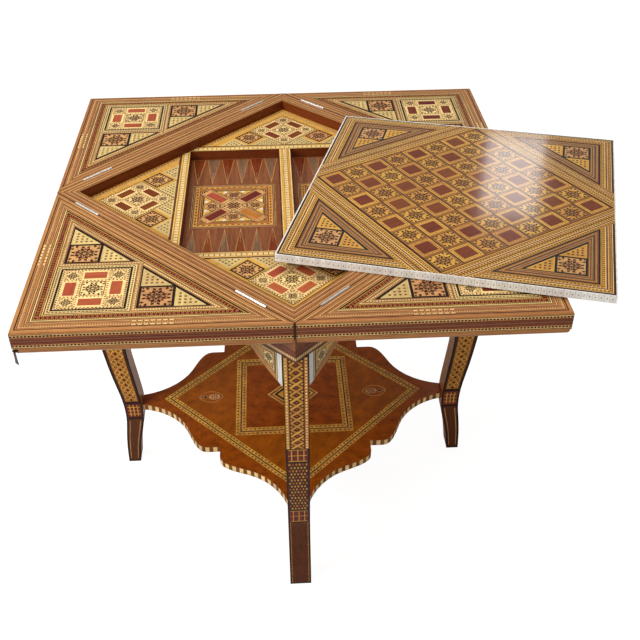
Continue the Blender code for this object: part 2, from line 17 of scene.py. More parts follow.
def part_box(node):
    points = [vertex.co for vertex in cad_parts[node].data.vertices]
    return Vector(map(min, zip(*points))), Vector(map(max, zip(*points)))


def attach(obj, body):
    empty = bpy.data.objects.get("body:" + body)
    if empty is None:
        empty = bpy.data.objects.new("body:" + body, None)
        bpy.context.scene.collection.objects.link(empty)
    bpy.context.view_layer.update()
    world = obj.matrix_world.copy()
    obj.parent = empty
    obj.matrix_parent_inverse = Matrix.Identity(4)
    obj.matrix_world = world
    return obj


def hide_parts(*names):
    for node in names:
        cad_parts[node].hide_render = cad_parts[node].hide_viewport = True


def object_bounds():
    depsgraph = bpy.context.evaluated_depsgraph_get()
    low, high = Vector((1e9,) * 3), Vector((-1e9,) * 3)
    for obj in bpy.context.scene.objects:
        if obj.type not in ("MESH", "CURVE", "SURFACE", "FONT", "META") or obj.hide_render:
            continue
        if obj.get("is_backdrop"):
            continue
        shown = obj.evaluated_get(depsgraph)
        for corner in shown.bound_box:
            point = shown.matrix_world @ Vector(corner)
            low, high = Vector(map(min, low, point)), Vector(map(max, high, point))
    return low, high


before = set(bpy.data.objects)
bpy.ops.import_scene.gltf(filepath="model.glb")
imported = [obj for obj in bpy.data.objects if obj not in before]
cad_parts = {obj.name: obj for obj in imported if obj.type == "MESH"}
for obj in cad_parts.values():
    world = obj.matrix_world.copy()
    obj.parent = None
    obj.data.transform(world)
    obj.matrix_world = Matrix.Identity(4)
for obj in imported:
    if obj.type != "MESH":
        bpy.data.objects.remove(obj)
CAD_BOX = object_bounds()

bl_info = {
    "name": "Folding game table",
    "version": (1, 0, 0),
    "blender": (4, 5, 0),
    "location": "3D View > Sidebar > Game Table",
    "description": "Dresses the packed folding game table with inlaid veneers and a studio",
    "category": "Object",
}

SIDES = ("front_left", "front_right", "back_right", "back_left")
LEGS = ("front", "right", "back", "left")
ROOT2 = math.sqrt(2)
QUARTER = math.pi / 2
EIGHTH = math.pi / 4
MM = 0.001

# Sizes of the solids that the veneers follow
OPEN_SIDE = 0.880
TOP_HEIGHT = 0.714
GAP = 0.0003
LEAF_THICKNESS = 0.0437
LEAF_BAND_HEIGHT = 0.0325
MOULDING_STEP = 0.0014
MOULDING_SETBACK = 0.0070
HINGE_LENGTH = 0.068
HINGE_END_DISTANCE = 0.096
HINGE_PLATE_HEIGHT = 0.0180
HINGE_BARREL_RADIUS = 0.0025
BOX_HEIGHT = 0.082
RIM_WIDTH = 0.0298
RECESS_DEPTH = 0.0210
WELL_DEPTH = 0.0200
WELL_CORNER_MARGIN = 0.0014
EDGE_BAR_WIDTH = 0.0175
CENTRE_BAR_WIDTH = 0.0260
LEG_WIDTH = 0.0430
SHELF_TOP_HEIGHT = 0.1750
SHELF_THICKNESS = 0.0150
BOARD_PLAY = 0.0008
BOARD_THICKNESS = 0.0143
BONE_WIDTH = 0.0024
BOARD_CENTRE_INSET = 0.1176
BOARD_CENTRE_Y = -0.0765
BOARD_TURN = math.radians(-16.95)

HALF_SIDE = OPEN_SIDE / 2
SIDE_DISTANCE = HALF_SIDE / ROOT2
RECESS_DISTANCE = SIDE_DISTANCE - RIM_WIDTH
RECESS_CORNER = RECESS_DISTANCE * ROOT2
WELLS_HALF_SIDE = RECESS_CORNER / 2 - WELL_CORNER_MARGIN
DECK_HEIGHT = TOP_HEIGHT - RECESS_DEPTH
WELL_FLOOR_TOP = DECK_HEIGHT - WELL_DEPTH
BOX_BOTTOM = TOP_HEIGHT - BOX_HEIGHT
BOX_FACE = SIDE_DISTANCE - GAP
LEAF_REACH = SIDE_DISTANCE - GAP * ROOT2
LEAF_EDGE = (LEAF_REACH - GAP) * ROOT2
DECK_REACH = RECESS_CORNER - GAP * ROOT2
HINGE_CENTRE = SIDE_DISTANCE - HINGE_END_DISTANCE
HINGE_HALF, HINGE_ROOM = HINGE_LENGTH / 2 + GAP, HINGE_BARREL_RADIUS + GAP
AXIS_HEIGHT = TOP_HEIGHT + GAP / 2
BOARD_SIDE = 2 * (RECESS_DISTANCE - BOARD_PLAY)
BOARD_CENTRE_X = HALF_SIDE - BOARD_CENTRE_INSET

# Veneers
VENEER = 0.0007
BEAD = 0.0030
CUT_ACCURACY = 1e-6
SMOOTH_ANGLE = math.radians(35)
BOARD_LOW, BOARD_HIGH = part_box("bottom_board")
TABLE_X = (BOARD_LOW.x + BOARD_HIGH.x) / 2
TABLE = Matrix.Translation((TABLE_X, 0, 0))
IDENTITY = Matrix.Identity(4)
UPSIDE_DOWN = Matrix.Rotation(math.pi, 4, "X")

# Colours of the woods and metals as linear light
WOODS = {
    "walnut": (0.460, 0.190, 0.060),
    "brown": (0.215, 0.066, 0.016),
    "tan": (0.640, 0.325, 0.120),
    "dark": (0.062, 0.017, 0.006),
    "black": (0.014, 0.008, 0.006),
    "cream": (0.900, 0.630, 0.260),
    "gold": (0.680, 0.335, 0.060),
    "amber": (0.500, 0.185, 0.026),
    "green": (0.680, 0.480, 0.185),
    "red": (0.420, 0.085, 0.034),
    "maroon": (0.165, 0.026, 0.012),
    "mahogany": (0.190, 0.040, 0.009),
    "teak": (0.120, 0.034, 0.008),
    "rosewood": (0.230, 0.074, 0.026),
    "greywood": (0.220, 0.115, 0.058),
    "burl": (0.350, 0.085, 0.004),
    "pearl": (0.780, 0.760, 0.690),
    "bone": (0.960, 0.920, 0.840),
    "beech": (0.520, 0.360, 0.200),
    "steel": (0.930, 0.915, 0.880),
    "bronze": (0.085, 0.050, 0.032),
}
LUSTRE = {"pearl": 1.0, "bone": 0.35}


def turned(angle):
    return Matrix.Rotation(angle, 4, "Z")


def shifted(x, y, z=0.0):
    return Matrix.Translation((x, y, z))


def side_frame(k):
    """Local -Y points out of the box through side k."""
    return TABLE @ turned(math.radians(90 * k - 45))


def leg_frame(k):
    """Local -Y points out through leg k."""
    return TABLE @ turned(math.radians(90 * k))


def leaf_frame(k):
    """Origin at the leaf's outer corner, X and Y along its outer edges, Z = 0 at its top."""
    corner = -SIDE_DISTANCE - LEAF_REACH
    return side_frame(k) @ shifted(0, corner, TOP_HEIGHT) @ turned(math.radians(45))


def board_frame():
    """Middle of the board's lower face: it lies on the rim and on two hinge barrels."""
    along = Vector((math.cos(BOARD_TURN), math.sin(BOARD_TURN)))
    start = Vector((BOARD_CENTRE_X, BOARD_CENTRE_Y)) - left_of(along) * BOARD_SIDE / 2
    rest_x = start.x + along.x * (RECESS_CORNER - start.x + start.y) / (along.x - along.y)
    barrel_end_x = HALF_SIDE - (HINGE_END_DISTANCE + HINGE_LENGTH / 2) / ROOT2
    slope = (GAP / 2 + HINGE_BARREL_RADIUS) / (barrel_end_x - rest_x)
    height = TOP_HEIGHT + GAP + (BOARD_CENTRE_X - rest_x) * slope
    tilt = Matrix.Rotation(-math.atan(slope), 4, "Y")
    return TABLE @ shifted(BOARD_CENTRE_X, BOARD_CENTRE_Y, height) @ tilt @ turned(BOARD_TURN)


def upright(place):
    """Stands a drawing up: its Y axis becomes the place's Z, and it faces the place's -Y."""
    return place @ Matrix.Rotation(QUARTER, 4, "X")


def flat_on(place):
    """Puts a drawing on a plane; depth goes down from it."""
    return lambda x, y, depth: place @ Vector((x, y, -depth))


# Flat drawing
def pairs(count):
    """The numbers of neighbouring corners round an outline."""
    return [(index, (index + 1) % count) for index in range(count)]


def left_of(way):
    return Vector((-way.y, way.x))


def heading(angle):
    return Matrix.Rotation(angle, 2) @ Vector((1, 0))


def polygon(points):
    """The points as vectors, counter-clockwise."""
    points = [Vector(point) for point in points]
    area = sum(a.cross(b) for a, b in zip(points, points[1:] + points[:1]))
    return points if area > 0 else points[::-1]


def square(centre, half, angle=0.0):
    centre = Vector(centre)
    turn = Matrix.Rotation(angle, 2)
    corners = ((-half, -half), (half, -half), (half, half), (-half, half))
    return [centre + turn @ Vector(corner) for corner in corners]


def rectangle(low, high):
    (x0, y0), (x1, y1) = low, high
    return polygon([(x0, y0), (x1, y0), (x1, y1), (x0, y1)])


def bar(x, half, low, high):
    """An upright rectangle about the line at x."""
    return rectangle((x - half, low), (x + half, high))


def block(middle, a, b):
    """A block with half sides a and b."""
    return middle - a - b, middle + a - b, middle + a + b, middle - a + b


def lozenge_at(middle, a, b):
    return middle - a, middle - b, middle + a, middle + b


def inset(outline, widths):
    """A convex outline moved inwards, by one width or by one for each side."""
    widths = [widths] * len(outline) if isinstance(widths, float) else widths
    lines = []
    for index, ahead in pairs(len(outline)):
        way = (outline[ahead] - outline[index]).normalized()
        lines.append((outline[index] + left_of(way) * widths[index], way))
    corners = []
    for (before, before_way), (after, after_way) in zip(lines[-1:] + lines[:-1], lines):
        reach = (after - before).cross(after_way) / before_way.cross(after_way)
        corners.append(before + before_way * reach)
    return corners


class Inlay:
    """Veneer pieces drawn in order. The first outline is the sheet; wood None cuts a piece out."""

    def __init__(self, outline, wood, way=(1, 0), seed=1):
        self.outlines, self.woods, self.ways, self.tones = [], [], [], []
        self.chance = random.Random(seed)
        self.lay(outline, wood, way)

    def lay(self, outline, wood, way=(1, 0)):
        self.outlines.append(polygon(outline))
        self.woods.append(wood)
        self.ways.append(Vector(way).normalized())
        self.tones.append(self.chance.random())

    def strip(self, start, end, low, high, wood):
        """A straight strip beside the line from start to end, from low to high on its left."""
        start, end = Vector(start), Vector(end)
        way = (end - start).normalized()
        left = left_of(way)
        corners = (start + left * low, end + left * low, end + left * high, start + left * high)
        self.lay(corners, wood, way)

    def dots(self, start, end, size, pitch, wood, long=1.0, across=0.0, lozenge=False):
        """Small pieces evenly along a line; long stretches them along it."""
        start, end = Vector(start), Vector(end)
        way = (end - start).normalized()
        left = left_of(way)
        length = (end - start).length
        count = max(1, round(length / pitch))
        step = way * (length / count)
        shape = lozenge_at if lozenge else block
        for index in range(count):
            middle = start + step * (index + 0.5) + left * across
            self.lay(shape(middle, way * size * long / 2, left * size / 2), wood, way)

    def ring(self, outline, width, wood, dots=None):
        """A mitred frame inside a convex outline. Returns its inner outline."""
        inner = inset(outline, width)
        for index, ahead in pairs(len(outline)):
            way = outline[ahead] - outline[index]
            self.lay((outline[index], outline[ahead], inner[ahead], inner[index]), wood, way)
        if dots:
            middle = inset(outline, width / 2)
            for index, ahead in pairs(len(outline)):
                self.dots(middle[index], middle[ahead], **dots)
        return inner

    def rings(self, outline, rows):
        for width, wood, dots in rows:
            outline = self.ring(outline, width, wood, dots)
        return outline

    def stripes(self, start, end, rows):
        """Strips side by side on the left of a line, with their dots."""
        offset = 0.0
        for width, wood, dots in rows:
            if wood:
                self.strip(start, end, offset, offset + width, wood)
            if dots:
                self.dots(start, end, across=offset + width / 2, **dots)
            offset += width

    def mirrored(self):
        """Mirrors the drawing in its own plane, so that a wrapped sheet still faces outwards."""
        self.outlines = [polygon([(-p.x, p.y) for p in outline]) for outline in self.outlines]
        self.ways = [Vector((-way.x, way.y)) for way in self.ways]
        return self


def fine_dots(size, pitch, wood, **more):
    return dict(size=size * MM, pitch=pitch * MM, wood=wood, **more)


def bands(text):
    """Stripes from the outside in, each "width wood" or "width wood size pitch wood long", in mm.

    The second form has dots of its last wood, stretched by long, or lozenges where that is said.
    Wood "-" leaves a stripe out.
    """
    rows = []
    for item in text.split(","):
        width, wood, *seeds = item.split()
        dots = None
        if seeds:
            size, pitch, seed_wood, *more = seeds
            long = float(more[0]) if more else 1.0
            dots = fine_dots(float(size), float(pitch), seed_wood, long=long, lozenge=len(more) > 1)
        rows.append((float(width) * MM, None if wood == "-" else wood, dots))
    return tuple(rows)


def rows_width(rows):
    return sum(width for width, _, _ in rows)


CORNERS = ((-1, -1), (-1, 1), (1, -1), (1, 1))
# Darts of a star, as shares of its half side: distance, turn, half length, half width
STAR_DARTS = ((0.22, 0, 0.18, 0.085), (0.52, 0, 0.14, 0.075), (0.47, 0.5, 0.22, 0.135))


def star(inlay, centre, half, angle=0.0, ground="cream", dark="maroon", heart="red", rim="brown"):
    """A square tile with a star of darts round a heart, and darts in its corners."""
    centre = Vector(centre)
    turn = Matrix.Rotation(angle, 2)
    inlay.lay(square(centre, half, angle), rim, turn @ Vector((1, 0)))
    inlay.lay(square(centre, half * 0.92, angle), ground, turn @ Vector((1, 0)))
    for index in range(8):
        for (reach, offset, long, wide), wood in zip(STAR_DARTS, (dark, heart, dark)):
            way = heading(angle + math.tau * (index + offset) / 8)
            middle = centre + way * reach * half
            dart = lozenge_at(middle, way * long * half, left_of(way) * wide * half)
            inlay.lay(dart, wood, way * long * half)
        way = heading(angle + math.tau * index / 8)
        reach = 0.98 if index % 2 else 0.72
        for side in (-1, 1):
            middle = centre + (way * reach + left_of(way) * side * 0.17) * half
            lean = way + left_of(way) * side * 0.7
            dart = lozenge_at(middle, lean * 0.135 * half, left_of(lean) * 0.090 * half)
            inlay.lay(dart, dark, lean * 0.135 * half)
    for x, y in CORNERS:
        place = centre + turn @ Vector((x, y)) * half * 0.83
        inlay.lay(square(place, half * 0.060, angle + EIGHTH), dark)


def seeded_triangle(inlay, corners, wood, dot_wood, pitch, size):
    """A triangle with a lattice of small seeds; its first corner is the right angle."""
    corner, first, second = (Vector(point) for point in corners)
    inlay.lay((corner, first, second), wood, first - corner)
    inner = inset(polygon((corner, first, second)), size * 0.5)
    inlay.lay(inner, wood, second - corner)
    rows = int((first - corner).length / pitch)
    for i in range(1, rows):
        for j in range(1, rows - i):
            at = corner + (first - corner) * i / rows + (second - corner) * j / rows
            inlay.lay(square(at, size / 2, EIGHTH * ((i + j) % 2)), dot_wood)


def corner_triangle(inlay, corner, first, second, rows, seeds=("green", "brown")):
    """A framed right triangle that holds a dark star tile and two seeded triangles."""
    inner = inlay.rings(polygon((corner, first, second)), rows)
    nearest = min(inner, key=lambda point: (point - Vector(corner)).length)
    ways = [(Vector(point) - Vector(corner)).normalized() for point in (first, second)]
    reaches = [max((point - nearest).dot(way) for point in inner) for way in ways]
    tile = min(reaches) * 0.49
    gap = tile * 0.045
    inlay.lay(inner, "black", ways[0])
    for way, other, reach in ((*ways, reaches[0]), (*ways[::-1], reaches[1])):
        start = nearest + way * (tile + gap)
        side = reach - tile - gap * 2.4
        points = (start, start + way * side, start + other * side)
        seeded_triangle(inlay, points, *seeds, tile / 7, tile * 0.075)
    middle = nearest + (ways[0] + ways[1]) * tile / 2
    angle = math.atan2(ways[0].y, ways[0].x)
    star(inlay, middle, tile / 2, angle, "tan", "dark", "maroon", "black")


def star_panel(inlay, centre, half, angle=0.0, red="red"):
    """The large square: a middle star, four red blocks and four corner stars in dotted lines."""
    centre = Vector(centre)
    turn = Matrix.Rotation(angle, 2)
    inlay.ring(square(centre, half, angle), half * 0.055, "cream", fine_dots(2.2, 5.4, "dark"))
    inlay.lay(square(centre, half * 0.945, angle), "cream", turn @ Vector((1, 0)))
    cell, block_reach = half * 0.36, half * 0.675
    for share in (-1, 1):
        for way, other in (((1, 0), (0, 1)), ((0, 1), (1, 0))):
            way, other = turn @ Vector(way), turn @ Vector(other)
            for offset in (cell * 1.13, half * 0.95):
                start = centre + other * share * offset - way * half * 0.93
                end = centre + other * share * offset + way * half * 0.93
                inlay.dots(start, end, **fine_dots(2.6, 6.2, "brown"))
            middle = centre + other * share * block_reach
            inlay.lay(block(middle, way * cell * 0.93, other * half * 0.165), red, way)
    star(inlay, centre, cell, angle, "cream", "dark", "maroon", "brown")
    for x, y in CORNERS:
        place = centre + turn @ Vector((x, y)) * block_reach
        star(inlay, place, half * 0.235, angle, "cream", "dark", "maroon", "tan")


def within(point, outline):
    inside = False
    x, y = point
    for (x0, y0), (x1, y1) in zip(outline, outline[1:] + outline[:1]):
        if (y0 > y) != (y1 > y) and x < x0 + (x1 - x0) * (y - y0) / (y1 - y0):
            inside = not inside
    return inside


class Search:
    """Finds the last laid outline over a point, through a coarse grid of cells."""

    CELL = 0.006

    def __init__(self, outlines):
        self.outlines = [[tuple(point) for point in outline] for outline in outlines]
        self.cells = {}
        for number, outline in enumerate(self.outlines):
            columns, rows = (
                range(math.floor(min(line) / self.CELL), math.floor(max(line) / self.CELL) + 1)
                for line in zip(*outline)
            )
            for i in columns:
                for j in rows:
                    self.cells.setdefault((i, j), []).append(number)

    def uppermost(self, point):
        """The number of the uppermost outline there, or -1 off the sheet."""
        if not within(point, self.outlines[0]):
            return -1
        cell = (math.floor(point.x / self.CELL), math.floor(point.y / self.CELL))
        for number in reversed(self.cells.get(cell, ())):
            if within(point, self.outlines[number]):
                return number
        return -1


# Solid shells
def shown(name, data):
    """A new object in the scene."""
    obj = bpy.data.objects.new(name, data)
    bpy.context.scene.collection.objects.link(obj)
    return obj


class Piece:
    """Collects closed shells with the wood of each face, then becomes one mesh object."""

    def __init__(self, name, finish):
        self.name, self.finish = name, finish
        self.points, self.faces, self.smooth = [], [], []
        self.tints, self.ways, self.tones, self.lustres = [], [], [], []

    def add(self, points, faces, woods, ways, tones, smooth):
        start = len(self.points)
        self.points += [tuple(point) for point in points]
        self.faces += [tuple(start + index for index in face) for face in faces]
        self.tints += [(*wood_colour(wood), 1.0) for wood in woods]
        self.lustres += [LUSTRE.get(wood, 0.0) for wood in woods]
        self.ways += [tuple(way) for way in ways]
        self.tones += tones
        self.smooth += [smooth] * len(faces)

    def veneer(self, inlay, surface, smooth=False):
        """Cuts a drawing into one closed sheet; surface puts (x, y, depth) in place.

        The back of a flat sheet is one face. A curved sheet's back repeats its front.
        """
        source, faces = [], []
        for outline in inlay.outlines:
            faces.append(list(range(len(source), len(source) + len(outline))))
            source += outline
        flat, _, triangles, *_ = delaunay_2d_cdt(source, [], faces, 1, CUT_ACCURACY, True)
        search = Search(inlay.outlines)
        top, tops = [], []
        for triangle in triangles:
            middle = sum((flat[index] for index in triangle), Vector((0, 0))) / 3
            uppermost = search.uppermost(middle)
            if uppermost >= 0 and inlay.woods[uppermost]:
                top.append(tuple(triangle))
                tops.append(uppermost)
        edges = {}
        for number, (a, b, c) in enumerate(top):
            for edge in ((a, b), (b, c), (c, a)):
                edges[edge] = number
        rims = {edge: number for edge, number in edges.items() if edge[::-1] not in edges}
        ring = sorted({a for edge in rims for a in edge})
        used = sorted({index for triangle in top for index in triangle})
        upper = {index: number for number, index in enumerate(used)}
        back = used if smooth else ring
        lower = {index: len(used) + number for number, index in enumerate(back)}
        points = [surface(flat[i].x, flat[i].y, 0.0) for i in used]
        points += [surface(flat[i].x, flat[i].y, VENEER) for i in back]
        made = [tuple(upper[i] for i in triangle) for triangle in top]
        numbers = list(tops)
        for (a, b), number in rims.items():
            made.append((upper[b], upper[a], lower[a], lower[b]))
            numbers.append(tops[number])
        if smooth:
            made += [tuple(lower[i] for i in reversed(triangle)) for triangle in top]
            numbers += tops
        else:
            loops = loops_of(rims)
            made += [tuple(lower[i] for i in reversed(loop)) for loop in loops]
            numbers += [0] * len(loops)
        ways = []
        cache = {}
        for face, number in enumerate(numbers):
            way = inlay.ways[number]
            near = flat[top[face][0]] if face < len(top) else flat[ring[0]]
            key = (number, round(near.x, 2), round(near.y, 2))
            if key not in cache:
                here = surface(near.x, near.y, 0.0)
                ahead = surface(near.x + way.x * MM, near.y + way.y * MM, 0.0)
                cache[key] = (Vector(ahead) - Vector(here)).normalized()
            ways.append(cache[key])
        woods = [inlay.woods[number] or inlay.woods[0] for number in numbers]
        tones = [inlay.tones[number] for number in numbers]
        self.add(points, made, woods, ways, tones, smooth)

    def solid(self, shape, wood, way, smooth=False):
        """Adds a closed bmesh in one wood and frees it."""
        bmesh.ops.recalc_face_normals(shape, faces=shape.faces)
        shape.verts.index_update()
        points = [vertex.co.copy() for vertex in shape.verts]
        faces = [[vertex.index for vertex in face.verts] for face in shape.faces]
        shape.free()
        count = len(faces)
        way = Vector(way).normalized()
        self.add(points, faces, [wood] * count, [way] * count, [0.5] * count, smooth)

    def mesh(self):
        mesh = bpy.data.meshes.new(self.name)
        mesh.from_pydata(self.points, [], self.faces)
        for name, kind, field, values in (
            ("wood_tint", "FLOAT_COLOR", "color", [part for tint in self.tints for part in tint]),
            ("grain_way", "FLOAT_VECTOR", "vector", [part for way in self.ways for part in way]),
            ("wood_tone", "FLOAT", "value", self.tones),
            ("wood_lustre", "FLOAT", "value", self.lustres),
        ):
            mesh.attributes.new(name, kind, "FACE").data.foreach_set(field, values)
        mesh.materials.append(finish_material(self.finish))
        mesh.polygons.foreach_set("use_smooth", self.smooth)
        mesh.update()
        if any(self.smooth):
            mesh.set_sharp_from_angle(angle=SMOOTH_ANGLE)
        return mesh

    def show(self, body, *nodes):
        obj = shown(self.name, self.mesh())
        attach(obj, body)
        if nodes:
            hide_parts(*nodes)


def loops_of(rims):
    """Closed loops of vertex numbers from directed edges."""
    ahead = {}
    for a, b in rims:
        ahead.setdefault(a, []).append(b)
    loops = []
    while ahead:
        start = next(iter(ahead))
        loop, here = [start], start
        while True:
            follow = ahead[here]
            after = follow.pop()
            if not follow:
                del ahead[here]
            if after == start:
                break
            loop.append(after)
            here = after
        loops.append(loop)
    return loops


def packed_shape(node_name):
    """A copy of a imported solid, with its corners joined."""
    shape = bmesh.new()
    shape.from_mesh(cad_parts[node_name].data)
    bmesh.ops.remove_doubles(shape, verts=shape.verts, dist=1e-6)
    return shape


def cad_core(node_name, place=IDENTITY, low=(None,) * 3, high=(None,) * 3):
    """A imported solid, cut back in the place's own axes to make room for veneers."""
    shape = packed_shape(node_name)
    away = place.inverted()
    for vertex in shape.verts:
        local = away @ vertex.co
        for axis in range(3):
            if low[axis] is not None:
                local[axis] = max(local[axis], low[axis])
            if high[axis] is not None:
                local[axis] = min(local[axis], high[axis])
        vertex.co = place @ local
    bmesh.ops.dissolve_degenerate(shape, dist=1e-6, edges=shape.edges)
    return shape


def along_x(place):
    """The place's own X direction."""
    return place.to_3x3() @ Vector((1, 0, 0))


def face_outline(node_name, place):
    """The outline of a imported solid's flat face that lies on the place's own XY plane."""
    shape = packed_shape(node_name)
    away = place.inverted()
    flat = {vertex.index: away @ vertex.co for vertex in shape.verts}
    edges = set()
    for face in shape.faces:
        corners = [vertex.index for vertex in face.verts]
        if all(abs(flat[index].z) < 2e-5 for index in corners):
            edges.update(zip(corners, corners[1:] + corners[:1]))
    shape.free()
    rims = [edge for edge in edges if edge[::-1] not in edges]
    loop = max(loops_of(rims), key=len)
    return polygon([flat[index].to_2d() for index in loop])


def prism(outline, low, high, place):
    """A closed plate from an outline, between two heights of the place's own axes."""
    shape = bmesh.new()
    lower = [shape.verts.new(place @ Vector((*point, low))) for point in outline]
    upper = [shape.verts.new(place @ Vector((*point, high))) for point in outline]
    shape.faces.new(lower[::-1])
    shape.faces.new(upper)
    for index, ahead in pairs(len(outline)):
        shape.faces.new((lower[index], lower[ahead], upper[ahead], upper[index]))
    return shape


class Line:
    """A line of points, followed by its length."""

    def __init__(self, points):
        self.points = [Vector(point) for point in points]
        self.lengths = [0.0]
        for a, b in zip(self.points, self.points[1:]):
            self.lengths.append(self.lengths[-1] + (b - a).length)
        self.length = self.lengths[-1]

    def locate(self, t):
        """The stretch that holds length t, and the share of it that lies before t."""
        t = min(max(t, 0.0), self.length)
        index = 0
        while index < len(self.lengths) - 2 and self.lengths[index + 1] < t:
            index += 1
        return index, (t - self.lengths[index]) / (self.lengths[index + 1] - self.lengths[index])


# Finishes of wood: roughness, lacquer, figure, roughness change, bump
FINISHES = {
    "leaf_marquetry": (0.36, 0.12, 0.55, 0.20, 0.10),
    "rim_stringing": (0.34, 0.15, 0.55, 0.20, 0.10),
    "deck_marquetry": (0.42, 0.10, 0.50, 0.20, 0.10),
    "bar_mosaic": (0.42, 0.15, 0.45, 0.20, 0.10),
    "well_rosewood": (0.38, 0.12, 0.70, 0.20, 0.12),
    "leg_marquetry": (0.38, 0.12, 0.55, 0.20, 0.10),
    "bracket_marquetry": (0.38, 0.12, 0.50, 0.20, 0.10),
    "shelf_burl": (0.30, 0.18, 0.80, 0.18, 0.08),
    "board_marquetry": (0.16, 0.60, 0.50, 0.08, 0.04),
    "bone_tiles": (0.30, 0.20, 0.20, 0.15, 0.06),
    "plain_beech": (0.60, 0.00, 0.60, 0.20, 0.14),
}
# Finishes of metal: roughness, roughness change, tarnish, bump
METALS = {
    "hinge_steel": (0.46, 0.22, 0.20, 0.05),
    "pull_bronze": (0.42, 0.25, 0.55, 0.12),
}
# Grain: fineness, and how fast the figure changes along it compared with across it
STRAIGHT_GRAIN, BURL_GRAIN = (1.0, 0.06), (0.30, 0.75)


def wood_colour(wood):
    return tuple(getattr(bpy.context.scene.table_colours, wood))


def feed(made, links):
    """Sets a node's inputs, each to a value or from an output socket."""
    for socket, value in dict(links).items():
        if isinstance(value, bpy.types.NodeSocket):
            made.id_data.links.new(value, made.inputs[socket])
        else:
            made.inputs[socket].default_value = value
    return made


def node(tree, kind, links=(), **settings):
    made = tree.nodes.new(kind)
    for name, value in settings.items():
        setattr(made, name, value)
    return feed(made, links)


def maths(tree, operation, *values):
    links = dict(enumerate(values))
    return node(tree, "ShaderNodeMath", links, operation=operation).outputs[0]


def vector_maths(tree, operation, first, second, output=0):
    links = {0: first, 3 if operation == "SCALE" else 1: second}
    return node(tree, "ShaderNodeVectorMath", links, operation=operation).outputs[output]


def noise(tree, place, scale, detail, output="Fac", **more):
    links = {"Vector": place, "Scale": scale, "Detail": detail, **more}
    return node(tree, "ShaderNodeTexNoise", links).outputs[output]


def attribute(tree, name, output):
    return node(tree, "ShaderNodeAttribute", attribute_name=name).outputs[output]


def object_place(tree):
    return node(tree, "ShaderNodeTexCoord").outputs["Object"]


def blend(tree, share, first, second):
    links = {0: share, 6: first, 7: second}
    return node(tree, "ShaderNodeMix", links, data_type="RGBA").outputs[2]


def shaded(tree, colour, value, hue=0.5):
    links = {"Hue": hue, "Saturation": 1.0, "Value": value, "Color": colour}
    return node(tree, "ShaderNodeHueSaturation", links).outputs["Color"]


def wood_figure(tree, given):
    """Grain that follows each veneer piece's own direction, with its own tone."""
    tint, tone = attribute(tree, "wood_tint", "Color"), attribute(tree, "wood_tone", "Fac")
    way, place = attribute(tree, "grain_way", "Vector"), object_place(tree)
    reach = vector_maths(tree, "DOT_PRODUCT", place, way, "Value")
    along = vector_maths(tree, "SCALE", way, reach)
    across = vector_maths(tree, "SUBTRACT", place, along)
    slow = vector_maths(tree, "SCALE", along, given["Length"])
    moved = vector_maths(tree, "SCALE", (3.1, 7.7, 5.3), tone)
    where = vector_maths(tree, "ADD", vector_maths(tree, "ADD", across, slow), moved)
    broad = noise(tree, where, maths(tree, "MULTIPLY", given["Fineness"], 170.0), 3.0)
    fine = noise(tree, where, maths(tree, "MULTIPLY", given["Fineness"], 900.0), 2.0)
    grain = maths(tree, "MULTIPLY", broad, 0.6)
    grain = maths(tree, "ADD", grain, maths(tree, "MULTIPLY", fine, 0.4))
    links = {"Value": fine, "From Min": 0.30, "From Max": 0.46}
    pores = node(tree, "ShaderNodeMapRange", links).outputs["Result"]
    swing = maths(tree, "MULTIPLY", maths(tree, "SUBTRACT", grain, 0.5), 2.6)
    swing = maths(tree, "MULTIPLY", swing, given["Figure"])
    own_tone = maths(tree, "SUBTRACT", tone, 0.5)
    spread = maths(tree, "MULTIPLY", own_tone, given["Tone Spread"])
    value = maths(tree, "ADD", maths(tree, "ADD", swing, spread), 1.0)
    value = maths(tree, "MULTIPLY", value, maths(tree, "MULTIPLY_ADD", pores, 0.16, 0.84))
    hue = maths(tree, "MULTIPLY_ADD", own_tone, 0.014, 0.5)
    return {"Colour": shaded(tree, tint, value, hue), "Grain": grain, "Pores": pores}


def handling_wear(tree, given):
    """Old polish: cloudy wear in the gloss, and grime that darkens the surface in patches."""
    place, size = object_place(tree), given["Cloud Size"]
    cloud = noise(tree, place, size, 4.0, Roughness=0.6)
    fine = noise(tree, place, maths(tree, "MULTIPLY", size, 14.0), 2.0)
    wear = maths(tree, "MULTIPLY_ADD", fine, 0.35, maths(tree, "MULTIPLY", cloud, 0.65))
    dark = maths(tree, "MULTIPLY", maths(tree, "SUBTRACT", 0.62, wear), given["Grime"])
    keep = maths(tree, "SUBTRACT", 1.0, maths(tree, "MULTIPLY", dark, 3.0))
    return {"Colour": shaded(tree, given["Colour"], keep), "Wear": wear}


def pearl_shimmer(tree, given):
    """Clouded shimmer of mother-of-pearl, where a piece has lustre."""
    cloud = noise(tree, object_place(tree), 260.0, 2.0, "Color")
    soft = blend(tree, 0.35, (0.80, 0.80, 0.76, 1.0), cloud)
    tinted = blend(tree, 0.45, given["Colour"], soft)
    lustre = attribute(tree, "wood_lustre", "Fac")
    return {"Colour": blend(tree, lustre, given["Colour"], tinted)}


def metal_tarnish(tree, given):
    """Cloudy tarnish and fine rubbing marks on metal, from the metal's own tint."""
    place = object_place(tree)
    cloud = noise(tree, place, 55.0, 6.0)
    links = {"Vector": place, "Scale": (260.0, 260.0, 2600.0)}
    marks = noise(tree, node(tree, "ShaderNodeMapping", links).outputs[0], 1.0, 3.0)
    links = {"Value": cloud, "From Min": 0.42, "From Max": 0.72}
    links |= {"To Min": 0.0, "To Max": given["Tarnish"]}
    amount = node(tree, "ShaderNodeMapRange", links).outputs[0]
    dull = blend(tree, amount, given["Colour"], (0.10, 0.065, 0.04, 1.0))
    return {"Colour": dull, "Cloud": cloud, "Marks": marks}


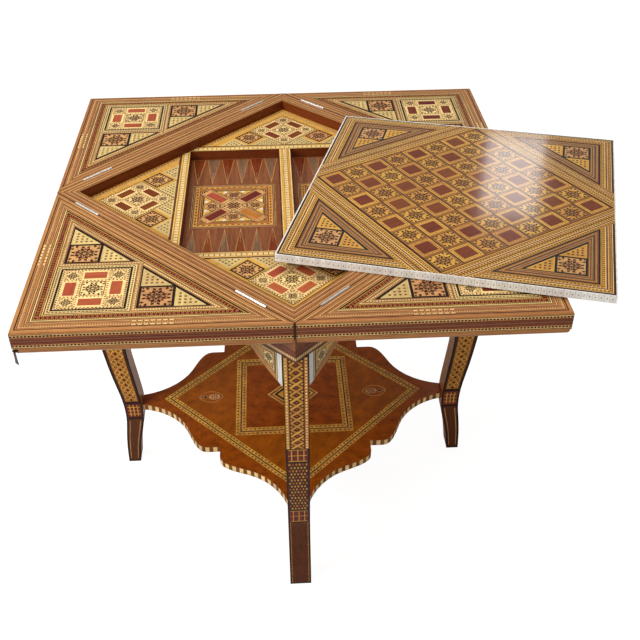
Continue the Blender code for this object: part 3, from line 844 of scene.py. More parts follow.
# Shader groups: builder, inputs with their defaults, outputs
COLOUR_INPUT = ("Colour", "Color", None)
SHADER_GROUPS = {
    "wood figure": (
        wood_figure,
        (
            ("Fineness", "Float", 1.0),
            ("Figure", "Float", 0.5),
            ("Tone Spread", "Float", 0.22),
            ("Length", "Float", 0.06),
        ),
        ("Grain", "Pores"),
    ),
    "handling wear": (
        handling_wear,
        (COLOUR_INPUT, ("Grime", "Float", 0.12), ("Cloud Size", "Float", 9.0)),
        ("Wear",),
    ),
    "pearl shimmer": (pearl_shimmer, (COLOUR_INPUT,), ()),
    "metal tarnish": (
        metal_tarnish,
        (COLOUR_INPUT, ("Tarnish", "Float", 0.4)),
        ("Cloud", "Marks"),
    ),
}


def shader_group(name):
    """A shader group, made once. It gives a colour and some masks."""
    found = bpy.data.node_groups.get(name)
    if found:
        return found
    build, inputs, masks = SHADER_GROUPS[name]
    tree = bpy.data.node_groups.new(name, "ShaderNodeTree")
    for label, kind, default in inputs:
        made = tree.interface.new_socket(label, in_out="INPUT", socket_type=f"NodeSocket{kind}")
        if default is not None:
            made.default_value = default
    tree.interface.new_socket("Colour", in_out="OUTPUT", socket_type="NodeSocketColor")
    for label in masks:
        tree.interface.new_socket(label, in_out="OUTPUT", socket_type="NodeSocketFloat")
    source = tree.nodes.new("NodeGroupInput")
    sink = tree.nodes.new("NodeGroupOutput")
    feed(sink, build(tree, source.outputs))
    return tree


def group_outputs(tree, name, **links):
    made = tree.nodes.new("ShaderNodeGroup")
    made.node_tree = shader_group(name)
    return feed(made, links).outputs


def relief(tree, strength, height):
    links = {"Strength": strength, "Distance": 0.0002, "Height": height}
    return node(tree, "ShaderNodeBump", links).outputs["Normal"]


def worn_metal(tree, roughness, change, tarnish, bump):
    """Worn metal: its tint comes from the faces, its tarnish from a group."""
    tint = attribute(tree, "wood_tint", "Color")
    worn = group_outputs(tree, "metal tarnish", Colour=tint, Tarnish=tarnish)
    rough = maths(tree, "MULTIPLY_ADD", worn["Cloud"], change, roughness - change / 2)
    return {
        "Base Color": worn["Colour"],
        "Roughness": rough,
        "Metallic": 1.0,
        "Normal": relief(tree, bump, worn["Marks"]),
    }


def polished_wood(tree, grain, roughness, lacquer, figure, change, bump):
    """Veneer pieces with their own tint, grain and pearl, under old polish."""
    fineness, length = grain
    links = {"Fineness": fineness, "Figure": figure, "Length": length}
    wood = group_outputs(tree, "wood figure", **links)
    pearl = group_outputs(tree, "pearl shimmer", Colour=wood["Colour"])
    worn = group_outputs(tree, "handling wear", Colour=pearl["Colour"])
    rough = maths(tree, "MULTIPLY_ADD", worn["Wear"], change, roughness - change / 2)
    glossy = lacquer > 0.5
    height = maths(tree, "MULTIPLY_ADD", wood["Grain"], 0.4, wood["Pores"])
    return {
        "Base Color": worn["Colour"],
        "Roughness": maths(tree, "MULTIPLY_ADD", wood["Pores"], -change / 3, rough),
        "Specular IOR Level": 0.22 if glossy else 0.10,
        "Coat Weight": lacquer,
        "Coat Roughness": 0.10 if glossy else 0.22,
        "Normal": relief(tree, bump, height),
    }


def finish_material(name):
    """The material of one finish, made once."""
    found = bpy.data.materials.get(f"{name}_finish")
    if found:
        return found
    made = bpy.data.materials.new(f"{name}_finish")
    made.use_nodes = True
    tree = made.node_tree
    if name in METALS:
        links = worn_metal(tree, *METALS[name])
    else:
        grain = BURL_GRAIN if name == "shelf_burl" else STRAIGHT_GRAIN
        links = polished_wood(tree, grain, *FINISHES[name])
    feed(tree.nodes["Principled BSDF"], links)
    return made


OUTER_STRIPES = bands(
    "6.6 walnut, 1.8 black, 2.0 walnut, 0.9 dark, 2.2 tan, 2.8 tan 1.8 4.0 black, 0.9 brown,"
    "2.4 walnut, 1.0 dark, 2.2 tan, 1.0 dark, 2.2 walnut, 1.2 black, 1.8 cream"
)
HINGE_STRIPES = bands(
    "0.8 black, 2.2 walnut, 0.9 dark, 2.6 tan, 2.6 walnut 1.7 3.8 black, 1.0 dark, 2.8 walnut,"
    "0.9 brown, 2.2 tan, 1.0 dark, 2.6 walnut 1.7 3.8 black, 1.0 brown, 2.6 tan, 1.0 dark,"
    "2.2 walnut, 1.4 black"
)
DARK_RED_BAND = bands(
    "1.3 black, 2.2 gold 1.5 3.2 black, 6.4 black 4.0 7.0 red 1.15, 2.2 gold 1.5 3.2 black,"
    "1.3 dark, 1.4 cream, 1.2 brown"
)
PALE_BAND = bands("1.1 dark, 1.0 cream, 4.4 green 2.2 6.0 dark 1.6, 1.0 cream, 1.5 dark")
CREAM_BAND = bands("1.4 walnut, 1.0 brown, 3.4 cream 2.0 4.6 dark, 1.2 brown, 1.2 walnut")
EDGE_STRIPES = bands(
    "5.6 -, 0.8 dark, 0.9 cream, 3.8 tan 3.0 5.6 black 1.15, 0.9 walnut, 1.6 brown, 1.3 maroon,"
    "0.8 greywood, 1.9 maroon, 0.8 greywood, 1.6 rosewood, 0.8 brown, 1.9 maroon, 0.8 greywood,"
    "1.6 maroon, 1.0 walnut, 3.8 tan 3.0 5.6 black 1.15, 0.8 cream, 1.0 dark"
)
PANEL_STRIPES = bands(
    "1.2 brown, 7.4 gold 3.2 8.0 maroon, 1.0 cream, 1.6 brown, 2.0 cream 1.3 3.0 dark"
)
PICTURE_BAND = bands(
    "1.0 tan, 1.6 black, 1.2 tan, 1.4 dark, 1.2 tan, 7.4 gold 2.8 11.0 maroon 2.0, 1.0 dark,"
    "2.2 red, 1.2 tan, 1.8 black, 1.4 gold, 2.4 black"
)
GOLD_MOSAIC = bands(
    "1.2 dark, 5.2 gold 2.6 6.0 dark 1.2, 1.0 cream, 2.8 black 1.9 4.4 red 1.1, 1.0 cream,"
    "5.2 gold 2.6 6.0 dark 1.2, 1.2 dark"
)
BOARD_TRIANGLE_BAND = bands(
    "3.2 black, 2.6 brown, 1.0 tan, 2.6 brown 1.5 3.0 gold, 1.0 black, 2.8 greywood, 1.0 tan,"
    "2.8 brown, 1.0 gold, 2.0 greywood, 1.8 black"
)


class GameTableOperator(bpy.types.Operator):
    bl_options = {"REGISTER", "UNDO"}

    def execute(self, context):
        self.make(context.scene.table_sizes)
        return {"FINISHED"}


# Leaves
LEAF_BORDER, HINGE_BORDER = 0.0300, 0.0283
PLAQUE_HALF_LENGTH, PLAQUE_LINE_HALF = 0.034, 1.5
LEAF_SQUARE = 0.1350
CORNER_LINE, PULL_NOTCH = 0.0014, 0.0112
# Underside: place and half side of its star panel, and the frame round it
UNDER_STAR_PLACE, UNDER_STAR_HALF, UNDER_FRAME = 0.058, 0.036, (0.0405, 0.048)


def clip_stripes(inlay, side, rows):
    """Mitred stripes inside the four corners of one border."""
    a, b, inner_b, inner_a = side
    way = (b - a).normalized()
    total = rows_width(rows)
    offset = 0.0
    for width, wood, dots in rows:
        low, high = offset / total, (offset + width) / total
        starts = [a.lerp(inner_a, share) for share in (low, high)]
        ends = [b.lerp(inner_b, share) for share in (low, high)]
        inlay.lay((starts[0], ends[0], ends[1], starts[1]), wood, way)
        if dots:
            share = (low + high) / 2
            inlay.dots(a.lerp(inner_a, share), b.lerp(inner_b, share), **dots)
        offset += width


def leaf_inlay(seed, blocks_wood):
    """The upper face of a leaf in its corner frame: X and Y along the outer edges."""
    corners = polygon(((0, 0), (LEAF_EDGE, 0), (0, LEAF_EDGE)))
    inlay = Inlay(corners, "walnut", (1, 0), seed)
    # The borders meet along the mitres at the acute corners
    inner = inset(corners, [LEAF_BORDER, HINGE_BORDER, LEAF_BORDER])
    for index, ahead in pairs(3):
        side = (corners[index], corners[ahead], inner[ahead], inner[index])
        clip_stripes(inlay, side, HINGE_STRIPES if index == 1 else OUTER_STRIPES)
    for start, end in ((corners[0], corners[1]), (corners[2], corners[0])):
        middle = (start + end) / 2
        way = (end - start).normalized() * PLAQUE_HALF_LENGTH
        for across in (11.4, 21.0):
            low, high = (across - PLAQUE_LINE_HALF) * MM, (across + PLAQUE_LINE_HALF) * MM
            inlay.strip(middle - way, middle + way, low, high, "brown")
            blocks = fine_dots(2.4, 9.2, "cream", long=3.0, across=across * MM)
            inlay.dots(middle - way, middle + way, **blocks)
    inlay.lay(inner, "walnut")
    triangle = inlay.rings(inner, DARK_RED_BAND)
    inlay.lay(triangle, "tan")
    base, line = triangle[0].x, triangle[1].x + triangle[1].y
    start = base + LEAF_SQUARE
    opening = inlay.rings(rectangle((base, base), (start, start)), PALE_BAND)
    opening = inlay.ring(opening, 2.4 * MM, "black")
    middle = (opening[0] + opening[2]) / 2
    star_panel(inlay, middle, (opening[2].x - opening[0].x) / 2, red=blocks_wood)
    reach = line - start - base
    for along, aside in ((Vector((1, 0)), Vector((0, 1))), (Vector((0, 1)), Vector((1, 0)))):
        corner = along * start + aside * base
        points = (corner, corner + along * reach, corner + aside * reach)
        corner_triangle(inlay, *points, (*CREAM_BAND, *bands("2.4 black")))
    # Grooves for the hinge barrels
    to_corner = (shifted(0, -LEAF_REACH) @ turned(math.radians(45))).inverted()
    for x in (-HINGE_CENTRE, HINGE_CENTRE):
        barrel = bar(x, HINGE_HALF, -HINGE_ROOM, HINGE_ROOM)
        inlay.lay([(to_corner @ corner.to_3d()).to_2d() for corner in barrel], None)
    return inlay


def leaf_edge_profile():
    """Rounded bead, flat band and base moulding, from the top arris to the underside."""
    points = []
    for step in range(5):
        angle = QUARTER * step / 4
        points.append((BEAD * (1 - math.sin(angle)), BEAD * (1 - math.cos(angle))))
    points.append((0.0, LEAF_BAND_HEIGHT))
    points.append((MOULDING_STEP, LEAF_BAND_HEIGHT + 0.0004))
    start = LEAF_BAND_HEIGHT + MOULDING_STEP
    for step in range(9):
        angle = QUARTER * step / 8
        setback = MOULDING_STEP + (MOULDING_SETBACK - MOULDING_STEP) * (1 - math.cos(angle))
        points.append((setback, start + (LEAF_THICKNESS - start) * math.sin(angle)))
    return Line(points)


def leaf_edge_inlay(profile, seed, notch):
    """The outer edge face: a light bead, two dotted bands, dark stripes and a light moulding."""
    left = [(setback, t) for (setback, _), t in zip(profile.points, profile.lengths)]
    right = [(LEAF_EDGE - setback, t) for setback, t in reversed(left)]
    inlay = Inlay(left + right, "walnut", (1, 0), seed)
    for low, high in zip(profile.lengths, profile.lengths[1:]):
        wood = "walnut" if low < 2 * BEAD or low > LEAF_BAND_HEIGHT else "brown"
        inlay.lay(rectangle((0, low), (LEAF_EDGE, high)), wood)
    inlay.stripes((0, 0.0), (LEAF_EDGE, 0.0), EDGE_STRIPES)
    corner = rectangle((LEAF_EDGE - CORNER_LINE, 0.0), (LEAF_EDGE, profile.length))
    inlay.lay(corner, "black", (0, 1))
    if notch:
        inlay.lay(rectangle((-MM, LEAF_BAND_HEIGHT), (PULL_NOTCH, profile.length + MM)), None)
    return inlay


def edge_surface(profile, place, swap):
    """Wraps an edge drawing round a leaf's outer side; swap puts it on the Y side."""

    def surface(s, t, depth):
        index, share = profile.locate(t)
        a, b = profile.points[index], profile.points[index + 1]
        at = a.lerp(b, share) - left_of((b - a).normalized()) * depth
        return place @ Vector((at.x, s, -at.y) if swap else (-s, at.x, -at.y))

    return surface


def underside_inlay(k):
    """The closed table's top: a quarter of its diamond, guessed from the inner side."""
    reach = LEAF_EDGE - 2 * MOULDING_SETBACK
    corners = polygon(((0, 0), (reach, 0), (0, reach)))
    inlay = Inlay(corners, "walnut", (1, 0), 40 + k)
    triangle = inlay.rings(corners, (*bands("3.0 gold"), *HINGE_STRIPES[:9], *DARK_RED_BAND))
    inlay.lay(triangle, "burl")
    centre = triangle[0] + Vector((UNDER_STAR_PLACE, UNDER_STAR_PLACE))
    star_panel(inlay, centre, UNDER_STAR_HALF)
    opening, outer = (square(centre, half) for half in UNDER_FRAME)
    for index, ahead in pairs(4):
        way = outer[ahead] - outer[index]
        inlay.lay((outer[index], outer[ahead], opening[ahead], opening[index]), "gold", way)
        middle = [(outer[end] + opening[end]) / 2 for end in (index, ahead)]
        inlay.dots(*middle, **fine_dots(1.8, 5.0, "dark"))
    return inlay


class OBJECT_OT_table_leaves(GameTableOperator):
    """Make the four inlaid leaves with their edge faces and mouldings"""

    bl_idname = "object.table_leaves"
    bl_label = "Leaves"

    def make(self, sizes):
        profile = leaf_edge_profile()
        flip = Matrix(((0, 1, 0, 0), (1, 0, 0, 0), (0, 0, -1, 0), (0, 0, 0, 1)))
        low, high = (VENEER, VENEER, VENEER - LEAF_THICKNESS), (None, None, -VENEER)
        for k, side in enumerate(SIDES):
            place = leaf_frame(k)
            piece = Piece(f"{side}_leaf_inlaid", "leaf_marquetry")
            core = cad_core(f"{side}_leaf", place, low, high)
            piece.solid(core, "walnut", place.to_3x3() @ Vector((1, -1, 0)))
            inlay = leaf_inlay(k + 1, "red" if "left" in side else "maroon")
            inlay.outlines[0] = polygon(inset(inlay.outlines[0], [BEAD, 0.0, BEAD]))
            piece.veneer(inlay, flat_on(place))
            for swap in (False, True):
                edge = leaf_edge_inlay(profile, 10 + k, k == 0)
                edge = edge if swap else edge.mirrored()
                piece.veneer(edge, edge_surface(profile, place, swap), smooth=True)
            under = place @ shifted(MOULDING_SETBACK, MOULDING_SETBACK, -LEAF_THICKNESS)
            piece.veneer(underside_inlay(k), flat_on(under @ flip))
            piece.show(f"{side}_leaf_body", f"{side}_leaf")


class OBJECT_OT_table_rims(GameTableOperator):
    """Make the four striped side boards whose tops are the rim of the recess"""

    bl_idname = "object.table_rims"
    bl_label = "Rim boards"

    def make(self, sizes):
        mitre = GAP / ROOT2
        slot_bottom = AXIS_HEIGHT - HINGE_PLATE_HEIGHT - GAP
        near, far = mitre - RECESS_DISTANCE, BOX_FACE - mitre
        ends = ((-far, -BOX_FACE), (far, -BOX_FACE))
        inner = ((-near, -RECESS_DISTANCE), (near, -RECESS_DISTANCE))
        rows = (*bands("3.0 dark"), *CREAM_BAND, *bands("2.0 black, 9.0 mahogany, 1.4 black"))
        groove = (-BOX_FACE - HINGE_ROOM, HINGE_ROOM - SIDE_DISTANCE)
        cut = {"low": (None, VENEER - BOX_FACE, None), "high": (None, None, TOP_HEIGHT - VENEER)}
        for k, side in enumerate(SIDES):
            place = side_frame(k)
            piece = Piece(f"{side}_rim_inlaid", "rim_stringing")
            piece.solid(cad_core(f"{side}_side_board", place, **cut), "mahogany", along_x(place))
            top = Inlay(ends + inner, "walnut", (1, 0), 20 + k)
            top.stripes(*ends, HINGE_STRIPES)
            outline = rectangle((-far, BOX_BOTTOM), (far, TOP_HEIGHT - VENEER))
            # The outer face's brown ground is painted shade: a dark sheet that stands for the
            # shadow under the leaves' overhang.
            face = Inlay(outline, "brown", (1, 0), 24 + k)
            face.stripes((-far, BOX_BOTTOM), (far, BOX_BOTTOM), rows)
            for x in (-HINGE_CENTRE, HINGE_CENTRE):
                top.lay(bar(x, HINGE_HALF, *groove), None)
                face.lay(bar(x, HINGE_HALF, slot_bottom, TOP_HEIGHT), None)
            piece.veneer(top, flat_on(place @ shifted(0, 0, TOP_HEIGHT)))
            piece.veneer(face, flat_on(upright(place @ shifted(0, -BOX_FACE))))
            piece.show("box", f"{side}_side_board")


# Recess floor
PANEL_MARGIN = 0.0030
PANEL_STAR_HEIGHT, PANEL_STAR_HALF_DIAGONAL = 0.2895, 0.0725
SIDE_STAR_PLACE, SIDE_STAR_HALF_DIAGONAL = (0.0755, 0.0375), 0.0290
STAR_LINE = 0.0022


def corner_panel_inlay(seed):
    """A corner of the recess floor in its leg frame: the apex points along -Y."""
    base = WELLS_HALF_SIDE + EDGE_BAR_WIDTH + GAP
    corners = polygon(((base - DECK_REACH, -base), (DECK_REACH - base, -base), (0, -DECK_REACH)))
    inlay = Inlay(corners, "amber", (1, 0), seed)
    on_base = [corner.y >= -base - MM for corner in corners]
    base_side = next(index for index, ahead in pairs(3) if on_base[index] and on_base[ahead])
    for width, wood, dots in PANEL_STRIPES:
        widths = [width] * 3
        widths[base_side] = width * 0.3
        inner = inset(corners, widths)
        for index, ahead in pairs(3):
            way = corners[ahead] - corners[index]
            side = (corners[index], corners[ahead], inner[ahead], inner[index])
            inlay.lay(side, wood if index != base_side else "brown", way)
            if dots and index != base_side:
                middle = [(corners[i] + inner[i]) / 2 for i in (index, ahead)]
                inlay.dots(*middle, **dots)
        corners = inner
    inlay.lay(corners, "gold", (1, 1))
    line = base + PANEL_MARGIN
    star_x, star_y = SIDE_STAR_PLACE
    for hand in (-1, 1):
        for middle, reach in ((0.0375, 0.0350), (0.1075, 0.0330)):
            ends = [(hand * (middle + way * reach), -line) for way in (-1, 1)]
            points = ((hand * middle, -line - reach), *ends)
            seeded_triangle(inlay, points, "green", "dark", 0.0068, 0.0032)
        place = (hand * star_x, -line - star_y)
        inlay.lay(square(place, (SIDE_STAR_HALF_DIAGONAL + STAR_LINE) / ROOT2, EIGHTH), "black")
        half = SIDE_STAR_HALF_DIAGONAL / ROOT2
        star(inlay, place, half, EIGHTH, "tan", "dark", "maroon", "dark")
    place, half = (0, -PANEL_STAR_HEIGHT), PANEL_STAR_HALF_DIAGONAL / ROOT2
    inlay.lay(square(place, (PANEL_STAR_HALF_DIAGONAL + STAR_LINE) / ROOT2, EIGHTH), "dark")
    star_panel(inlay, place, half, EIGHTH, "red" if seed == 30 else "mahogany")
    inlay.strip((-0.25, -line), (0.25, -line), 0, 0.0012, "black")
    inlay.strip((-0.25, -line + 0.0012), (0.25, -line + 0.0012), 0, 0.0030, "brown")
    return inlay


def bar_rows(width):
    """Light cubes between dark lines, across a bar of the given width."""
    side = (width - 0.0092) / 2 / MM
    thin, wide = side * 0.22, side * 0.56
    return bands(
        f"{thin} dark, {thin} cream, {wide} gold, 0.8 brown, 7.6 cream 7.0 9.6 dark 0.20,"
        f"0.8 brown, {wide} gold, {thin} cream, {thin} dark"
    )


class OBJECT_OT_table_deck(GameTableOperator):
    """Make the inlaid corner panels, the edge bars and the centre bar of the recess floor"""

    bl_idname = "object.table_deck"
    bl_label = "Recess floor"

    def make(self, sizes):
        mitre = GAP / ROOT2
        near, corner = WELLS_HALF_SIDE, (DECK_REACH + mitre) / 2
        far = near + EDGE_BAR_WIDTH
        right = ((near - mitre, -near), (corner - mitre, -corner), (DECK_REACH - far, -far))
        left = [(-x, y) for x, y in right]
        outline = (left[0], *right, left[2], left[1])
        top = (None, None, DECK_HEIGHT - VENEER)
        for k, leg in enumerate(LEGS):
            place = leg_frame(k)
            face = flat_on(place @ shifted(0, 0, DECK_HEIGHT))
            panel = Piece(f"{leg}_corner_panel_inlaid", "deck_marquetry")
            core = cad_core(f"{leg}_corner_panel", place, high=top)
            panel.solid(core, "beech", along_x(place))
            panel.veneer(corner_panel_inlay(30 + k), face)
            panel.show("box", f"{leg}_corner_panel")
            edge = Piece(f"{leg}_edge_bar_inlaid", "bar_mosaic")
            core = cad_core(f"{leg}_edge_bar", place, high=top)
            edge.solid(core, "mahogany", along_x(place))
            inlay = Inlay(outline, "gold", (1, 0), 34 + k)
            inlay.stripes((-DECK_REACH, -far), (DECK_REACH, -far), bar_rows(EDGE_BAR_WIDTH))
            edge.veneer(inlay, face)
            edge.show("box", f"{leg}_edge_bar")
        middle, end = CENTRE_BAR_WIDTH / 2, near - GAP
        centre = Piece("centre_bar_inlaid", "bar_mosaic")
        centre.solid(cad_core("centre_bar", TABLE, high=top), "mahogany", (0, 1, 0))
        inlay = Inlay(bar(0, middle, -end, end), "gold", (0, 1), 38)
        inlay.stripes((middle, -end), (middle, end), bar_rows(CENTRE_BAR_WIDTH))
        centre.veneer(inlay, flat_on(TABLE @ shifted(0, 0, DECK_HEIGHT)))
        centre.show("box", "centre_bar")


# Backgammon wells
POINTS, POINT_PITCH, POINT_REACH, POINT_MARGIN = 6, 0.0300, 0.1090, 0.0035
PICTURE_HALF_SIDE = 0.0820


def backgammon_points(inlay, middle_x, end, sign):
    """Six points that stand on one end of a well, each with a dotted line."""
    foot, tip = sign * (end - POINT_MARGIN), sign * (end - POINT_MARGIN - POINT_REACH)
    for index in range(POINTS):
        x = middle_x + (index - (POINTS - 1) / 2) * POINT_PITCH
        wood = "mahogany" if (index + (sign > 0)) % 2 else "greywood"
        for share, top, shade in ((0.45, tip, "walnut"), (0.40, tip + sign * 0.0090, wood)):
            reach = POINT_PITCH * share
            inlay.lay(((x - reach, foot), (x + reach, foot), (x, top)), shade, (0, 1))
        start, stop = (x, foot - sign * 0.060), (x, tip + sign * 0.004)
        inlay.dots(start, stop, **fine_dots(0.9, 4.0, "cream"))


def well_inlay(seed):
    """The left well's floor: backgammon points at both ends and a framed picture of mosaics."""
    end = WELLS_HALF_SIDE - GAP
    low, high = -end, -CENTRE_BAR_WIDTH / 2 - GAP
    inlay = Inlay(rectangle((low, -end), (high, end)), "rosewood", (0, 1), seed)
    middle_x = (low + high) / 2
    for sign in (-1, 1):
        backgammon_points(inlay, middle_x, end, sign)
    centre = Vector((middle_x, 0))
    inner = inlay.rings(square(centre, PICTURE_HALF_SIDE), PICTURE_BAND)
    half = inner[2].x - centre.x
    inlay.lay(inner, "gold", (0, 1))
    for way in (Vector((1, 0)), Vector((-1, 0)), Vector((0, 1)), Vector((0, -1))):
        place = centre + way * half * 0.72
        star(inlay, place, half * 0.26, EIGHTH, "tan", "dark", "maroon", "dark")
        aside = Vector((way.y, way.x))
        for hand in (-1, 1):
            for out, across, size, turn in ((0.93, 0.30, 0.055, EIGHTH), (0.90, 0.58, 0.05, 0.0)):
                bit = centre + way * half * out + aside * half * across * hand
                inlay.lay(square(bit, half * size, turn), "pearl")
    for angle, wood in ((45, "maroon"), (135, "red"), (225, "maroon"), (315, "amber")):
        way = Vector((math.cos(math.radians(angle)), math.sin(math.radians(angle))))
        left = left_of(way)
        start, stop = centre + way * half * 0.30, centre + way * half * 1.36
        inlay.lay(corner_strip(start, stop, left, half * 0.27), "dark", way)
        inlay.lay(corner_strip(start, stop, left, half * 0.24), "tan", way)
        for share, dots in ((0.195, (2.2, 4.4, "dark")), (0.20, (1.1, 2.8, "brown"))):
            for side in (-1, 1):
                edge = left * side * half * share
                inlay.dots(start + edge, stop + edge, **fine_dots(*dots))
        start, stop = centre + way * half * 0.44, centre + way * half * 1.20
        inlay.lay(corner_strip(start, stop, left, half * 0.155), wood, way)
    inlay.lay(square(centre, half * 0.335, EIGHTH), "dark")
    star(inlay, centre, half * 0.31, EIGHTH, "tan", "dark", "maroon", "cream")
    inlay.ring(square(centre, half), 0.0012, "gold")
    return inlay


def corner_strip(start, stop, left, half):
    return start - left * half, stop - left * half, stop + left * half, start + left * half


class OBJECT_OT_table_wells(GameTableOperator):
    """Make the two sunken backgammon floors"""

    bl_idname = "object.table_wells"
    bl_label = "Backgammon wells"

    def make(self, sizes):
        for name, turn in (("left", 0.0), ("right", math.pi)):
            place = TABLE @ turned(turn)
            piece = Piece(f"{name}_well_floor_inlaid", "well_rosewood")
            top = (None, None, WELL_FLOOR_TOP - VENEER)
            core = cad_core(f"{name}_well_floor", place, high=top)
            piece.solid(core, "beech", (0, 1, 0))
            piece.veneer(well_inlay(50), flat_on(place @ shifted(0, 0, WELL_FLOOR_TOP)))
            piece.show("box", f"{name}_well_floor")


# Chequer board
FIELD_HALF_DIAGONAL, FIELD_FRAME, SQUARE_MARGIN = 0.2770, 0.0034, 0.0026


def board_inlay(half):
    """The chequer board: mosaic border, four corner triangles and a diamond of 8 by 8 squares."""
    sheet = square((0, 0), half)
    inlay = Inlay(sheet, "gold", (1, 0), 60)
    edge = (*bands("3.6 dark, 1.2 cream"), *GOLD_MOSAIC, *bands("1.6 gold"))
    inlay.rings(sheet, edge)
    border = (*bands("3.0 gold"), *GOLD_MOSAIC, *GOLD_MOSAIC, *bands("1.0 gold"))
    inside = half - rows_width(edge)
    leg = 2 * inside - (FIELD_HALF_DIAGONAL + rows_width(border) * ROOT2)
    for turn in range(4):
        spin = Matrix.Rotation(QUARTER * turn, 2)
        start = spin @ Vector((FIELD_HALF_DIAGONAL, 0))
        end = spin @ Vector((0, FIELD_HALF_DIAGONAL))
        past = (end - start).normalized() * 0.02
        inlay.stripes(end + past, start - past, border)
        corner = spin @ Vector((inside, inside))
        ends = [corner + spin @ Vector(way) * leg for way in ((-1, 0), (0, -1))]
        corner_triangle(inlay, corner, *ends, BOARD_TRIANGLE_BAND, ("gold", "dark"))
    inlay.lay(square((0, 0), FIELD_HALF_DIAGONAL / ROOT2, EIGHTH), "black")
    field = FIELD_HALF_DIAGONAL / ROOT2 - FIELD_FRAME
    pitch = field / 4
    turn = Matrix.Rotation(EIGHTH, 2)
    inlay.lay(square((0, 0), field, EIGHTH), "gold", turn @ Vector((1, 0)))
    offsets = [(index - 4) * pitch for index in range(9)]
    for offset in offsets:
        low, high = turn @ Vector((-field, offset)), turn @ Vector((field, offset))
        for half_width, wood in ((0.0019, "dark"), (0.0010, "amber")):
            inlay.strip(low, high, -half_width, half_width, wood)
    for offset in offsets:
        low, high = turn @ Vector((offset, -field)), turn @ Vector((offset, field))
        inlay.strip(low, high, -0.0016, 0.0016, "dark")
    cell = pitch / 2 - SQUARE_MARGIN
    for i in range(8):
        for j in range(8):
            middle = turn @ Vector(((i - 3.5) * pitch, (j - 3.5) * pitch))
            if (i + j) % 2:
                plain_square(inlay, middle, cell, "mahogany" if (i * 3 + j) % 4 else "brown")
            else:
                star(inlay, middle, cell, EIGHTH, "gold", "dark", "maroon", "dark")
    return inlay


def plain_square(inlay, middle, half, wood):
    """A brown square inside a finely dotted light border."""
    inlay.lay(square(middle, half, EIGHTH), "gold")
    rim = square(middle, half * 0.86, EIGHTH)
    for index, ahead in pairs(4):
        inlay.dots(rim[index], rim[ahead], **fine_dots(1.8, 3.9, "dark"))
    inlay.lay(square(middle, half * 0.72, EIGHTH), wood, rim[1] - rim[0])


def eased_box(low, high, arris=0.0003):
    """A box with eased edges."""
    shape = bmesh.new()
    bmesh.ops.create_cube(shape, size=1.0)
    low, high = Vector(low), Vector(high)
    bmesh.ops.scale(shape, vec=high - low, verts=shape.verts)
    bmesh.ops.translate(shape, vec=(low + high) / 2, verts=shape.verts)
    edges = list(shape.edges)
    bmesh.ops.bevel(shape, geom=edges, offset=arris, segments=1, affect="EDGES")
    return shape


class OBJECT_OT_table_board(GameTableOperator):
    """Make the loose chequer board, inlaid on top and plain below"""

    bl_idname = "object.table_board"
    bl_label = "Chequer board"

    def make(self, sizes):
        place = board_frame()
        half = BOARD_SIDE / 2 - BONE_WIDTH - GAP
        piece = Piece("chequer_board_inlaid", "board_marquetry")
        core = eased_box((-half, -half, VENEER), (half, half, BOARD_THICKNESS - VENEER))
        core.transform(place)
        piece.solid(core, "dark", along_x(place))
        piece.veneer(board_inlay(half), flat_on(place @ shifted(0, 0, BOARD_THICKNESS)))
        under = Inlay(square((0, 0), half), "walnut", (1, 0), 61)
        rows = bands("6.0 brown, 1.2 cream, 9.0 walnut, 1.2 dark")
        under.lay(under.rings(square((0, 0), half), rows), "burl", (1, 1))
        piece.veneer(under, flat_on(place @ UPSIDE_DOWN))
        piece.show("loose_board", "board_core")


# Legs: heights where the outer face's inlaid panels change
FOOT_TOP, LOW_KNOT_TOP, MOSAIC_TOP, HIGH_KNOT_TOP = 0.180, 0.222, 0.377, 0.415
PLAIT_PITCH = 0.0165
# Setbacks of the outer face's lines and panels from its edges
LEG_EDGE, FOOT_LINE, EDGE_LINE, INNER_LINE = 0.0022, 0.0046, 0.0047, 0.0077
KNOT_SETBACK, LATTICE_SETBACK, PLAIT_SETBACK, EDGE_LINE_HALF = 0.0012, 0.0030, 0.0088, 0.0034
# Sides of a leg: border, and heights of the foot, the knot and the chain
SIDE_BORDER = 0.0034
SIDE_FOOT, SIDE_KNOT, SIDE_CHAIN_START, CHAIN_PITCH = (0.004, 0.136), (0.141, 0.182), 0.194, 0.0150
SIDE_FOOT_LINES, SIDE_KNOT_LINES, SIDE_KNOT_LEVELS = (0.010, 0.130), (0.145, 0.178), 0.041
SIDE_FIELD, SIDE_INNER_FIELD, SIDE_LINE_HALF = 0.187, 0.190, 0.0008
CHAIN_BLOCK, CHAIN_SEED, CHAIN_LINK = 0.0031, 0.0012, 0.0027


def plait(inlay, low, high, half):
    """Two light bands that cross and cross again on a dark ground."""
    inlay.lay(bar(0.0, half, low, high), "dark", (0, 1))
    count = max(1, round((high - low) / PLAIT_PITCH))
    step = (high - low) / count
    wide = half * 0.17
    for index in range(count):
        y0, y1 = low + step * index, low + step * (index + 1)
        for side in (-1, 1):
            reach = side * (half - wide)
            inlay.strip((-reach, y0), (reach, y1), -wide, wide, "gold" if side > 0 else "amber")
        for side in (-1, 1):
            spot = (side * half * 0.78, (y0 + y1) / 2)
            inlay.lay(square(spot, half * 0.14, EIGHTH), "gold")
        inlay.lay(square((0.0, y0 + step * 0.02), half * 0.12, EIGHTH), "red")


